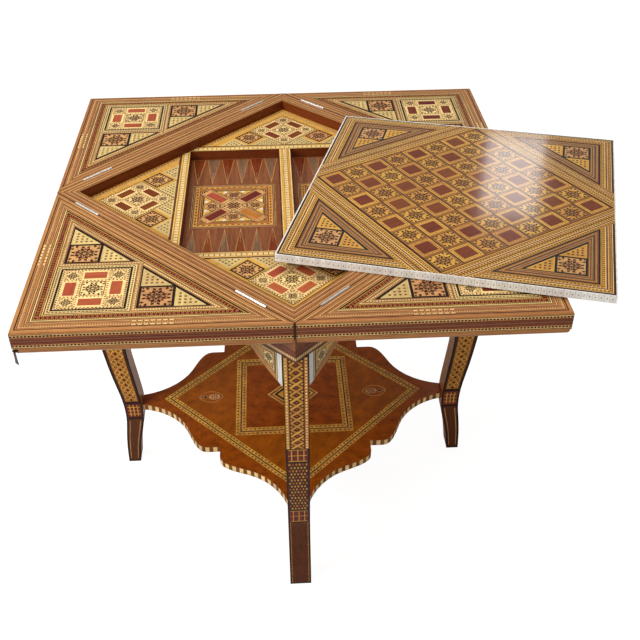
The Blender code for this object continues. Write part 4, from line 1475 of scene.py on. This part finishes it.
def lattice(inlay, low, high, half):
    """Gold and red lozenges in staggered rows, like woven straw, with dark seeds in the gold."""
    columns, wide = 6, half / 3
    count = round((high - low) / (wide * 1.5))
    step = (high - low) / count
    across, along = Vector((-wide * 0.34, 0)), Vector((0, step * 0.42))
    for j in range(count):
        y = low + step * (j + 0.5)
        for i in range(columns + j % 2 - 1):
            middle = Vector((-half + wide * (i + (0.5 if j % 2 else 1.0)), y))
            wood = ("gold", "red", "amber")[(i + j) % 3] if j % 2 else "gold"
            inlay.lay(lozenge_at(middle, along, across), wood, (0, 1))
            if wood == "gold":
                inlay.lay(square(middle, wide * 0.11, EIGHTH), "dark")


def knot_square(inlay, low, high, half):
    """A small square of crossing light lines on a dark ground."""
    edge, line_half = 0.0022, 0.0008
    inlay.lay(bar(0.0, half, low, high), "black", (0, 1))
    corners = ((edge - half, low + edge), (half - edge, high - edge))
    inlay.lay(rectangle(*corners), "maroon", (0, 1))
    reach, middle = half - edge * 1.6, (low + high) / 2
    for share in (-0.5, 0.0, 0.5):
        line = share * reach * 1.3
        inlay.lay(bar(line, line_half, low + edge * 1.5, high - edge * 1.5), "gold", (0, 1))
        level = middle + share * (high - low - 3 * edge)
        inlay.lay(bar(0.0, reach, level - line_half, level + line_half), "gold")
    for x, y in CORNERS:
        spot = (x * half * 0.38, middle + y * (high - low) * 0.19)
        inlay.lay(square(spot, 0.0016, EIGHTH), "dark")


def leg_face_inlay(levels, seed):
    """The outer face of a leg: plait, knot, dotted mosaic, knot and a plain panel."""
    half = LEG_WIDTH / 2
    bottom, top = levels[0], levels[-1]
    inlay = Inlay(bar(0, half, bottom, top), "rosewood", (0, 1), seed)
    # Level cuts let the sheet follow the leg's curve
    for low, high in zip(levels, levels[1:]):
        inlay.lay(bar(0, half, low, high), "mahogany", (0, 1))
    inlay.lay(bar(0, half, bottom, top), "teak", (0, 1))
    for side in (-1, 1):
        inlay.lay(bar(side * half, LEG_EDGE, bottom, top), "black", (0, 1))
        line = side * (half - FOOT_LINE)
        foot_dots = fine_dots(1.5, 4.6, "gold", long=1.4)
        inlay.dots((line, bottom + 0.004), (line, FOOT_TOP), **foot_dots)
        line = side * (half - EDGE_LINE)
        inlay.lay(bar(line, EDGE_LINE_HALF, HIGH_KNOT_TOP, top), "amber", (0, 1))
        for setback, dots in (
            (EDGE_LINE, fine_dots(3.2, 7.0, "cream", long=1.3)),
            (INNER_LINE, fine_dots(1.1, 7.0, "brown", long=2.0)),
        ):
            line = side * (half - setback)
            inlay.dots((line, HIGH_KNOT_TOP), (line, top), **dots)
    plait(inlay, HIGH_KNOT_TOP, top, half - PLAIT_SETBACK)
    knot_square(inlay, MOSAIC_TOP, HIGH_KNOT_TOP, half - KNOT_SETBACK)
    inlay.lay(bar(0, half - 0.0013, LOW_KNOT_TOP, MOSAIC_TOP), "dark", (0, 1))
    lattice(inlay, LOW_KNOT_TOP + 0.002, MOSAIC_TOP - 0.002, half - LATTICE_SETBACK)
    knot_square(inlay, FOOT_TOP, LOW_KNOT_TOP, half - KNOT_SETBACK)
    inlay.lay(bar(0, half, bottom, bottom + 0.0025), "black")
    return inlay


def leg_side_inlay(outline, seed):
    """A flat side of a leg: black border, chain mosaic, a dark knot and a plain foot."""
    inlay = Inlay(outline, "black", (0, 1), seed)
    spans = []
    for level in sorted({round(point.y, 6) for point in outline}):
        xs = [point.x for point in outline if abs(point.y - level) < 1e-5]
        if len(xs) > 1:
            spans.append((level, min(xs), max(xs)))

    def between(share, level):
        for (y0, a0, b0), (y1, a1, b1) in zip(spans, spans[1:]):
            if y0 <= level <= y1:
                t = (level - y0) / (y1 - y0)
                a, b = a0 + (a1 - a0) * t + SIDE_BORDER, b0 + (b1 - b0) * t - SIDE_BORDER
                return a + (b - a) * share
        return (spans[-1][1] + spans[-1][2]) / 2

    def panel(low, high, wood, left=0.0, right=1.0):
        levels = [low] + [y for y, _, _ in spans if low < y < high] + [high]
        sides = [(between(left, y), y) for y in levels]
        sides += [(between(right, y), y) for y in reversed(levels)]
        inlay.lay(sides, wood, (0, 1))

    top = spans[-1][0] - 0.004
    panel(*SIDE_FOOT, "teak")
    for share in (0.10, 0.84):
        panel(*SIDE_FOOT_LINES, "tan", share, 0.16 if share < 0.5 else 0.90)
    panel(*SIDE_KNOT, "maroon")
    for share in (0.25, 0.5, 0.75):
        panel(*SIDE_KNOT_LINES, "gold", share - 0.035, share + 0.035)
        level = SIDE_KNOT[0] + SIDE_KNOT_LEVELS * share
        panel(level - SIDE_LINE_HALF, level + SIDE_LINE_HALF, "gold", 0.08, 0.92)
    panel(SIDE_FIELD, top, "dark")
    panel(SIDE_INNER_FIELD, top - 0.003, "amber", 0.10, 0.90)
    level = SIDE_CHAIN_START
    while level + CHAIN_PITCH < top:
        middle, high = level + CHAIN_PITCH / 2, level + CHAIN_PITCH
        for share in (0.30, 0.70):
            ring = ((share, level), (share + 0.20, middle), (share, high), (share - 0.20, middle))
            inlay.lay([(between(across, y), y) for across, y in ring], "gold", (0, 1))
            spot = Vector((between(share, middle), middle))
            inlay.lay(square(spot, CHAIN_BLOCK, EIGHTH), "dark")
            inlay.lay(square(spot, CHAIN_SEED, EIGHTH), "gold")
        inlay.lay(square((between(0.5, level), level), CHAIN_LINK, EIGHTH), "dark")
        level += CHAIN_PITCH
    return inlay


def reach_at(levels, reaches, z):
    """How far out a leg's outer face stands at height z."""
    z = min(max(z, levels[0]), levels[-1])
    for low, high, near, far in zip(levels, levels[1:], reaches, reaches[1:]):
        if z <= high:
            return near + (far - near) * (z - low) / (high - low)
    return reaches[-1]


def leg_side(place, hand):
    """The frame of a leg's flat side: X towards its back or front, Y up and Z outwards."""
    rows = ((0, 0, hand, hand * LEG_WIDTH / 2), (hand, 0, 0, 0), (0, 1, 0, 0), (0, 0, 0, 1))
    return place @ Matrix(rows)


class OBJECT_OT_table_legs(GameTableOperator):
    """Make the four curved legs with their inlaid outer faces and sides"""

    bl_idname = "object.table_legs"
    bl_label = "Legs"

    def make(self, sizes):
        for k, leg in enumerate(LEGS):
            place = leg_frame(k)
            right, left = leg_side(place, 1), leg_side(place, -1)
            outline = face_outline(f"{leg}_leg", right)
            outer = {}
            for point in outline:
                level = round(point.y, 6)
                outer[level] = min(outer.get(level, 0.0), point.x)
            levels = [y for y in sorted(outer) if y < BOX_BOTTOM + MM]
            reaches = [-outer[y] for y in levels]
            trimmed = []
            for point in outline:
                below_box = point.y < BOX_BOTTOM + MM
                on_face = below_box and point.x < outer[round(point.y, 6)] + 1e-5
                trimmed.append(point + Vector((VENEER if on_face else 0.0, 0)))
            piece = Piece(f"{leg}_leg_inlaid", "leg_marquetry")
            core = prism(trimmed, VENEER - LEG_WIDTH, -VENEER, right)
            piece.solid(core, "walnut", (0, 0, 1))

            def surface(x, z, depth):
                return place @ Vector((x, depth - reach_at(levels, reaches, z), z))

            piece.veneer(leg_face_inlay(levels, 70 + k), surface, smooth=True)
            piece.veneer(leg_side_inlay(outline, 74), flat_on(right))
            mirrored = polygon([Vector((-point.x, point.y)) for point in outline])
            piece.veneer(leg_side_inlay(mirrored, 75), flat_on(left))
            piece.show("box", f"{leg}_leg")


# Brackets: stripes beside the leg as setback, width and wood, then the framed field
BRACKET_FIELD = 0.0160
BRACKET_STRIPES = (
    (0.0012, 0.0100, "pearl"), (0.0128, 0.0016, "cream"), (BRACKET_FIELD, 0.2000, "walnut"),
)
BRACKET_STAR_PLACE, BRACKET_STAR_HALF = (0.0315, 0.0195), 0.0118


def bracket_inlay(outline, seed):
    """A pearl strip beside the leg, then a framed mosaic; it follows the bracket's outline."""
    inlay = Inlay(outline, "black", (0, 1), seed)
    xs = [point.x for point in outline]
    edge, near = max(xs, key=abs), min(xs, key=abs)
    sign = 1 if edge > 0 else -1
    top, low = max(point.y for point in outline), min(point.y for point in outline)
    for start, width, wood in BRACKET_STRIPES:
        a, b = sorted((edge - sign * start, edge - sign * (start + width)))
        inlay.lay(rectangle((a, low - 0.01), (b, top + 0.01)), wood, (0, 1))
    field = edge - sign * BRACKET_FIELD
    body = inset(polygon(((field, top), (field, low + 0.018), (near + sign * 0.006, top))), 0.0010)
    rows = bands("1.6 black, 2.2 cream 1.1 3.2 brown, 1.4 black")
    inlay.lay(inlay.rings(body, rows), "gold", (0, 1))
    out, down = BRACKET_STAR_PLACE
    place = (edge - sign * out, top - down)
    star(inlay, place, BRACKET_STAR_HALF, 0.0, "cream", "black", "dark", "black")
    return inlay


class OBJECT_OT_table_brackets(GameTableOperator):
    """Make the eight shaped brackets under the box, beside the legs"""

    bl_idname = "object.table_brackets"
    bl_label = "Brackets"

    def make(self, sizes):
        for k, side in enumerate(SIDES):
            place = side_frame(k)
            face = upright(place @ shifted(0, -BOX_FACE))
            for leg in (LEGS[k], LEGS[(k + 3) % 4]):
                name = f"{leg}_leg_{side}_bracket"
                piece = Piece(f"{name}_inlaid", "bracket_marquetry")
                core = cad_core(name, place, low=(None, VENEER - BOX_FACE, None))
                piece.solid(core, "walnut", along_x(place))
                piece.veneer(bracket_inlay(face_outline(name, face), 80 + k), flat_on(face))
                piece.show("box", name)


# Shelf: half diagonals and half sides of its bands, and the places of its leaf shapes
SHELF_DIAMOND, SHELF_SQUARE, SHELF_HEART = 0.2940, 0.1300, 0.0580
SHELF_DIAMOND_BAND, SHELF_SQUARE_BAND = 0.0205, 0.0245
SHELF_LEAF_PLACE, SHELF_LEAF_SIZE, SHELF_FLOWER_SIZE = 0.187, (0.0275, 0.0185), (0.0135, 0.0098)


def shelf_band(width):
    side = (width - 0.0036) / 2 / MM
    mosaic = f"{side - 0.7} gold 4.6 9.6 dark 1.15 lozenge"
    return bands(f"0.7 brown, {mosaic}, 0.7 tan, 2.4 black, 0.7 tan, {mosaic}, 0.7 brown")


def shelf_leaf(inlay, spin):
    """A leaf shape with a small flower and two seeds."""
    centre = spin @ Vector((SHELF_LEAF_PLACE, 0))
    leaf = []
    for step in range(32):
        angle = math.tau * step / 32
        bulge = 0.55 + 0.45 * abs(math.sin(angle))
        long, wide = SHELF_LEAF_SIZE
        leaf.append(Vector((long * math.cos(angle), wide * math.sin(angle) * bulge)))
    for scale, wood in ((1.0, "tan"), (0.93, "burl")):
        inlay.lay([centre + spin @ point * scale for point in leaf], wood)
    flower = centre + spin @ Vector((-0.0075, 0))
    long, wide = SHELF_FLOWER_SIZE
    angles = [math.tau * step / 16 for step in range(16)]
    petals = [Vector((long * math.cos(angle), wide * math.sin(angle))) for angle in angles]
    inlay.lay([flower + spin @ point for point in petals], "tan")
    for index in range(8):
        way = heading(math.tau * index / 8)
        dart = lozenge_at(flower + way * 0.0062, way * 0.0030, left_of(way) * 0.0016)
        inlay.lay(dart, "dark", way * 0.0030)
    inlay.lay(square(flower, 0.0014), "maroon")
    for x, size in ((0.0135, 0.0036), (0.0200, 0.0022)):
        for half, wood in ((size + 0.0012, "tan"), (size, "dark")):
            inlay.lay(square(centre + spin @ Vector((x, 0)), half, EIGHTH), wood)


def shelf_inlay(outline):
    """Burl field with a diamond band, a square band, a middle medallion and four leaf shapes."""
    inlay = Inlay(outline, "burl", (1, 0.3), 90)
    diamond = square((0, 0), SHELF_DIAMOND / ROOT2, EIGHTH)
    inlay.lay(inlay.rings(diamond, shelf_band(SHELF_DIAMOND_BAND)), "burl", (0.8, 1))
    inner = inlay.rings(square((0, 0), SHELF_SQUARE), shelf_band(SHELF_SQUARE_BAND))
    inlay.lay(inner, "burl", (1, -0.4))
    middle = square((0, 0), SHELF_HEART / ROOT2, EIGHTH)
    rows = bands("1.4 cream, 8.0 amber 2.8 6.0 dark, 1.4 cream, 5.0 black")
    inlay.lay(inlay.rings(middle, rows), "gold")
    inlay.lay(square((0, 0), 0.0062, EIGHTH), "dark")
    for turn in range(4):
        shelf_leaf(inlay, Matrix.Rotation(QUARTER * turn, 2))
    return inlay


class Rim(Line):
    """A closed outline, followed by its length, with the way inwards at each corner."""

    def __init__(self, outline):
        super().__init__(outline + outline[:1])
        ways = [(b - a).normalized() for a, b in zip(self.points, self.points[1:])]
        self.inwards = []
        for before, after in zip(ways[-1:] + ways, ways + ways[:1]):
            way = before + after
            way = way.normalized() if way.length > 0.5 else after
            self.inwards.append(left_of(way) * (1 / max(0.5, way.dot(after))))

    def at(self, s, depth):
        """The point at length s, moved inwards."""
        index, share = self.locate(s)
        point = self.points[index].lerp(self.points[index + 1], share)
        return point + self.inwards[index].lerp(self.inwards[index + 1], share) * depth


class OBJECT_OT_table_shelf(GameTableOperator):
    """Make the serpentine shelf with its inlaid top and blocked edge"""

    bl_idname = "object.table_shelf"
    bl_label = "Shelf"

    def make(self, sizes):
        place = TABLE @ shifted(0, 0, SHELF_TOP_HEIGHT)
        outline = face_outline("shelf", place)
        rim = Rim(outline)
        trimmed = [point + way * VENEER for point, way in zip(rim.points, rim.inwards)][:-1]
        low, high = VENEER - SHELF_THICKNESS, -VENEER
        piece = Piece("shelf_inlaid", "shelf_burl")
        piece.solid(prism(trimmed, low, high, place), "burl", (1, 0, 0))
        piece.veneer(shelf_inlay(outline), flat_on(place))
        under = Inlay([Vector((point.x, -point.y)) for point in outline], "burl", (1, 0.2), 91)
        piece.veneer(under, flat_on(place @ shifted(0, 0, -SHELF_THICKNESS) @ UPSIDE_DOWN))
        edge = Inlay(rectangle((0, low), (rim.length, high)), "cream", (0, 1), 92)
        # A cut at every corner of the outline lets the sheet bend with it
        for start, end in zip(rim.lengths, rim.lengths[1:]):
            edge.lay(rectangle((start, low), (end, high)), "cream", (0, 1))
        count = round(rim.length / sizes.block_pitch / 2) * 2
        pitch = rim.length / count
        for index in range(count):
            wood = "brown" if index % 2 else "cream"
            corners = ((index * pitch, low), ((index + 1) * pitch, high))
            edge.lay(rectangle(*corners), wood, (0, 1))
        surface = lambda s, z, depth: place @ Vector((*rim.at(s, depth), z))
        piece.veneer(edge, surface, smooth=True)
        piece.show("box", "shelf")


# Bone edging
TILE_INPUTS = (
    ("Side", "Float"), ("Depth", "Float"), ("Height", "Float"), ("Pitch", "Float"),
    ("Joint", "Float"), ("Mark", "Float"), ("Tile Colour", "Color"), ("Mark Colour", "Color"),
    ("Lustre", "Float"), ("Finish", "Material"),
)
SKIN = 0.0001
BED_SETBACK, BED_MARGIN = 0.0011, 0.0004


def sized(tree, **axes):
    return node(tree, "ShaderNodeCombineXYZ", axes).outputs[0]


def stored(tree, geometry, name, kind, value, domain="FACE"):
    """Stores a named attribute on the geometry."""
    links = {"Geometry": geometry, "Name": name, "Value": value}
    settings = {"data_type": kind, "domain": domain}
    return node(tree, "GeometryNodeStoreNamedAttribute", links, **settings).outputs["Geometry"]


def joined(tree, shapes):
    made = tree.nodes.new("GeometryNodeJoinGeometry")
    for shape in shapes:
        tree.links.new(shape, made.inputs["Geometry"])
    return made.outputs["Geometry"]


def tile_tree():
    """A square of tiles laid end to end, each with a small dark mark in its outer face."""
    tree = bpy.data.node_groups.new("tiles_round_a_square", "GeometryNodeTree")
    for label, kind in TILE_INPUTS:
        tree.interface.new_socket(name=label, in_out="INPUT", socket_type=f"NodeSocket{kind}")
    tree.interface.new_socket(name="Geometry", in_out="OUTPUT", socket_type="NodeSocketGeometry")
    given = tree.nodes.new("NodeGroupInput").outputs
    side, depth, height, mark = (given[name] for name in ("Side", "Depth", "Height", "Mark"))
    length = maths(tree, "SUBTRACT", side, depth)
    count = maths(tree, "ROUND", maths(tree, "DIVIDE", length, given["Pitch"]))
    step = maths(tree, "DIVIDE", length, count)
    first = maths(tree, "MULTIPLY_ADD", side, -0.5, maths(tree, "MULTIPLY", step, 0.5))
    middle = maths(tree, "MULTIPLY", maths(tree, "SUBTRACT", depth, side), 0.5)
    start = sized(tree, X=first, Y=middle, Z=maths(tree, "MULTIPLY", height, 0.5))
    links = {"Count": count, "Start Location": start, "Offset": sized(tree, X=step)}
    line = node(tree, "GeometryNodeMeshLine", links).outputs["Mesh"]
    tile_length = maths(tree, "SUBTRACT", step, given["Joint"])
    tile_depth = maths(tree, "SUBTRACT", depth, SKIN)
    tile_size = sized(tree, X=tile_length, Y=tile_depth, Z=height)
    mark_size = sized(tree, X=mark, Y=depth, Z=maths(tree, "MULTIPLY", mark, 2.2))
    rows = []
    for size, colour in ((tile_size, "Tile Colour"), (mark_size, "Mark Colour")):
        shape = node(tree, "GeometryNodeMeshCube", {"Size": size}).outputs["Mesh"]
        shape = stored(tree, shape, "wood_tint", "FLOAT_COLOR", given[colour])
        shape = stored(tree, shape, "wood_lustre", "FLOAT", given["Lustre"])
        shape = stored(tree, shape, "grain_way", "FLOAT_VECTOR", (1, 0, 0))
        links = {"Points": line, "Instance": shape}
        copies = node(tree, "GeometryNodeInstanceOnPoints", links).outputs["Instances"]
        tone = node(tree, "FunctionNodeRandomValue", {"Seed": 7}).outputs[1]
        rows.append(stored(tree, copies, "wood_tone", "FLOAT", tone, "INSTANCE"))
    one_side = joined(tree, rows)
    turns = []
    for turn in range(4):
        links = {"Geometry": one_side, "Rotation": (0, 0, QUARTER * turn)}
        turns.append(node(tree, "GeometryNodeTransform", links).outputs["Geometry"])
    four_sides = {"Geometry": joined(tree, turns)}
    real = node(tree, "GeometryNodeRealizeInstances", four_sides).outputs["Geometry"]
    links = {"Geometry": real, "Material": given["Finish"]}
    made = node(tree, "GeometryNodeSetMaterial", links).outputs["Geometry"]
    node(tree, "NodeGroupOutput", {"Geometry": made})
    return tree


def grown(name, tree, values, place):
    """Runs a geometry tree and keeps its result as a plain mesh object, put in place."""
    host = shown(name, bpy.data.meshes.new(name))
    modifier = host.modifiers.new("Growth", "NODES")
    modifier.node_group = tree
    for item in tree.interface.items_tree:
        if item.in_out == "INPUT":
            modifier[item.identifier] = values[item.name]
    graph = bpy.context.evaluated_depsgraph_get()
    mesh = bpy.data.meshes.new_from_object(host.evaluated_get(graph))
    host.modifiers.clear()
    host.data = mesh
    mesh.name = name
    mesh.transform(place)
    if not mesh.polygons:
        raise RuntimeError(f"{name} came out empty")
    return host


class OBJECT_OT_table_edging(GameTableOperator):
    """Lay bone tiles round the edge of the loose board"""

    bl_idname = "object.table_edging"
    bl_label = "Bone Edging"

    def make(self, sizes):
        place = board_frame()
        values = {
            "Side": BOARD_SIDE,
            "Depth": BONE_WIDTH - SKIN,
            "Height": BOARD_THICKNESS,
            "Pitch": sizes.tile_pitch,
            "Joint": 0.0003,
            "Mark": 0.0013,
            "Tile Colour": (*wood_colour("bone"), 1.0),
            "Mark Colour": (*wood_colour("brown"), 1.0),
            "Lustre": LUSTRE["bone"],
            "Finish": finish_material("bone_tiles"),
        }
        tiles = grown("bone_tiles", tile_tree(), values, place)
        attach(tiles, "loose_board")
        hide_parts("board_bone_edging")
        inner, bed = BOARD_SIDE / 2 - BONE_WIDTH, BOARD_SIDE / 2 - BED_SETBACK
        outline = polygon(((-bed, -bed), (bed, -bed), (inner, -inner), (-inner, -inner)))
        piece = Piece("bone_edging_bed", "bone_tiles")
        for turn in range(4):
            side = place @ turned(QUARTER * turn)
            shape = prism(outline, BED_MARGIN, BOARD_THICKNESS - BED_MARGIN, side)
            piece.solid(shape, "brown", (1, 0, 0))
        piece.show("loose_board")


class OBJECT_OT_table_hinges(GameTableOperator):
    """Dress the eight butt hinges with worn bright metal"""

    bl_idname = "object.table_hinges"
    bl_label = "Hinges"

    def make(self, sizes):
        for k, side in enumerate(SIDES):
            for half, body in (("fixed", "box"), ("moving", f"{side}_leaf_body")):
                nodes = [f"{side}_hinge_{label}_{half}" for label in ("a", "b")]
                piece = Piece(f"{side}_hinges_{half}", "hinge_steel")
                for name in nodes:
                    piece.solid(cad_core(name), "steel", along_x(side_frame(k)), smooth=True)
                piece.show(body, *nodes)


class OBJECT_OT_table_pull(GameTableOperator):
    """Dress the drop pull and its staple with dark bronze"""

    bl_idname = "object.table_pull"
    bl_label = "Drop Pull"

    def make(self, sizes):
        bodies = {"pull_staple": "front_left_leaf_body", "pull_drop": "pull_drop_body"}
        for name, body in bodies.items():
            piece = Piece(f"{name}_bronze", "pull_bronze")
            piece.solid(cad_core(name), "bronze", (0, 0, 1), smooth=True)
            piece.show(body, name)


class OBJECT_OT_table_carcase(GameTableOperator):
    """Give the hidden bottom board and ledgers their plain wood"""

    bl_idname = "object.table_carcase"
    bl_label = "Hidden Woodwork"

    def make(self, sizes):
        ledgers = [(f"{side}_ledger", along_x(side_frame(k))) for k, side in enumerate(SIDES)]
        for name, along in (("bottom_board", Vector((1, 0, 0))), *ledgers):
            piece = Piece(f"{name}_wood", "plain_beech")
            shape = cad_core(name)
            edges = [edge for edge in shape.edges if edge.calc_face_angle(0) > 0.7]
            bmesh.ops.bevel(shape, geom=edges, offset=0.0004, segments=1, affect="EDGES")
            piece.solid(shape, "beech", along)
            piece.show("box", name)


# Studio
FLOOR_SIZE = 30.0
FLOOR_SHARE, FLOOR_GLOW, WORLD_STRENGTH = 0.72, 1.30, 0.26
# Lamps: name, place, aimed at, width, height, power in watts
LAMPS = (
    ("ceiling", (-0.4, 0.3, 3.0), (0.0, 0.0, 0.70), 2.0, 2.0, 36.0),
    ("window_left", (-2.2, -1.3, 2.3), (0.0, 0.0, 0.55), 1.4, 1.4, 62.0),
    ("window_front", (0.6, -2.9, 2.0), (0.0, 0.0, 0.40), 1.8, 1.2, 8.0),
    ("window_back", (0.966, 1.85, 1.76), (0.42, 0.0, 0.73), 0.24, 0.34, 0.9),
)
# Camera fitted to the photograph: 640 by 640 pixels, from the table's middle on the floor
IMAGE_SIZE = 640
FOCAL_PIXELS = 904.0
CAMERA_PLACE = (-0.021, -1.553, 1.563)
CAMERA_AZIMUTH = math.radians(-2.87)
CAMERA_ELEVATION = math.radians(37.77)
CAMERA_ROLL = math.radians(-0.36)
PICTURE_CENTRE = (317.2, 329.7)


class OBJECT_OT_table_stage(GameTableOperator):
    """Make the pale floor, the backdrop, the soft lamps and the photograph's camera"""

    bl_idname = "object.table_stage"
    bl_label = "Studio stage"

    def make(self, sizes):
        make_floor()
        make_world()
        make_lamps()
        make_camera()


def seen_directly(tree):
    ray = node(tree, "ShaderNodeLightPath").outputs
    return maths(tree, "MAXIMUM", ray["Is Camera Ray"], ray["Is Transmission Ray"])


def mix_surface(tree, output, share, first, second):
    mix = node(tree, "ShaderNodeMixShader", {0: share, 1: first.outputs[0], 2: second.outputs[0]})
    feed(tree.nodes[output], {"Surface": mix.outputs[0]})


def make_floor():
    shape = bmesh.new()
    bmesh.ops.create_grid(shape, x_segments=8, y_segments=8, size=FLOOR_SIZE)
    mesh = bpy.data.meshes.new("studio_floor")
    shape.to_mesh(mesh)
    shape.free()
    floor = shown("studio_floor", mesh)
    made = bpy.data.materials.new("studio_floor")
    made.use_nodes = True
    tree = made.node_tree
    shader = tree.nodes["Principled BSDF"]
    feed(shader, {"Roughness": 0.9, "Base Color": (0.86, 0.86, 0.85, 1.0)})
    light = node(tree, "ShaderNodeEmission", {"Color": (1, 1, 1, 1), "Strength": FLOOR_GLOW})
    share = maths(tree, "MULTIPLY", seen_directly(tree), FLOOR_SHARE)
    mix_surface(tree, "Material Output", share, shader, light)
    mesh.materials.append(made)
    floor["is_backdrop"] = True


def make_world():
    world = bpy.data.worlds.new("studio_world")
    bpy.context.scene.world = world
    world.use_nodes = True
    tree = world.node_tree
    soft = tree.nodes["Background"]
    feed(soft, {"Color": (1.0, 0.99, 0.97, 1.0), "Strength": WORLD_STRENGTH})
    white = node(tree, "ShaderNodeBackground", {"Color": (1, 1, 1, 1), "Strength": 1.0})
    mix_surface(tree, "World Output", seen_directly(tree), soft, white)


def make_lamps():
    for name, place, aim, width, height, power in LAMPS:
        lamp = bpy.data.lights.new(name, "AREA")
        lamp.shape = "RECTANGLE"
        lamp.size, lamp.size_y = width, height
        lamp.energy = power
        obj = shown(name, lamp)
        obj.location = Vector(place) + Vector((TABLE_X, 0, 0))
        toward = Vector(aim) - Vector(place)
        obj.rotation_euler = toward.to_track_quat("-Z", "Y").to_euler()


def make_camera():
    data = bpy.data.cameras.new("photograph_camera")
    data.sensor_width = 36.0
    data.lens = FOCAL_PIXELS / IMAGE_SIZE * data.sensor_width
    data.shift_x = (IMAGE_SIZE / 2 - PICTURE_CENTRE[0]) / IMAGE_SIZE
    data.shift_y = (PICTURE_CENTRE[1] - IMAGE_SIZE / 2) / IMAGE_SIZE
    camera = shown("photograph_camera", data)
    az, el, roll = CAMERA_AZIMUTH, CAMERA_ELEVATION, CAMERA_ROLL
    forward = Vector((-math.sin(az) * math.cos(el), math.cos(az) * math.cos(el), -math.sin(el)))
    right = Vector((math.cos(az), math.sin(az), 0))
    up = right.cross(forward)
    turned_right = right * math.cos(roll) + up * math.sin(roll)
    turned_up = up * math.cos(roll) - right * math.sin(roll)
    axes = Matrix((turned_right, turned_up, -forward)).transposed()
    camera.matrix_world = Matrix.Translation(TABLE @ Vector(CAMERA_PLACE)) @ axes.to_4x4()
    bpy.context.scene.camera = camera


class TableColours(bpy.types.PropertyGroup):
    """Colours of the woods, bone and pearl"""

    __annotations__ = {
        wood: FloatVectorProperty(
            name=wood.capitalize(),
            description=f"Colour of the {wood} veneer pieces",
            subtype="COLOR",
            min=0.0,
            max=1.0,
            default=colour,
        )
        for wood, colour in WOODS.items()
    }


class TableSizes(bpy.types.PropertyGroup):
    """Sizes of the fine trim"""

    tile_pitch: FloatProperty(
        name="Bone tile length",
        description="Length of one bone tile round the loose board",
        default=0.0088,
        unit="LENGTH",
    )
    block_pitch: FloatProperty(
        name="Shelf block length",
        description="Length of one light or dark block on the shelf's edge",
        default=0.0085,
        unit="LENGTH",
    )


OPERATORS = tuple(GameTableOperator.__subclasses__())


class VIEW3D_PT_game_table(bpy.types.Panel):
    """Steps that dress the folding game table"""

    bl_label = "Folding Game Table"
    bl_space_type = "VIEW_3D"
    bl_region_type = "UI"
    bl_category = "Game Table"

    def draw(self, context):
        layout = self.layout
        for operator in OPERATORS:
            layout.operator(operator.bl_idname)
        for wood in WOODS:
            layout.prop(context.scene.table_colours, wood)
        layout.prop(context.scene.table_sizes, "tile_pitch")
        layout.prop(context.scene.table_sizes, "block_pitch")


CLASSES = (TableColours, TableSizes, *OPERATORS, VIEW3D_PT_game_table)


def register():
    for item in CLASSES:
        bpy.utils.register_class(item)
    bpy.types.Scene.table_colours = PointerProperty(type=TableColours)
    bpy.types.Scene.table_sizes = PointerProperty(type=TableSizes)


def unregister():
    del bpy.types.Scene.table_sizes
    del bpy.types.Scene.table_colours
    for item in reversed(CLASSES):
        bpy.utils.unregister_class(item)


def main():
    register()
    bpy.context.scene.view_settings.view_transform = "Standard"
    for operator in OPERATORS:
        family, name = operator.bl_idname.split(".")
        getattr(getattr(bpy.ops, family), name)()
    boxes = [[list(corner) for corner in box] for box in (CAD_BOX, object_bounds())]


if __name__ == "__main__":
    main()
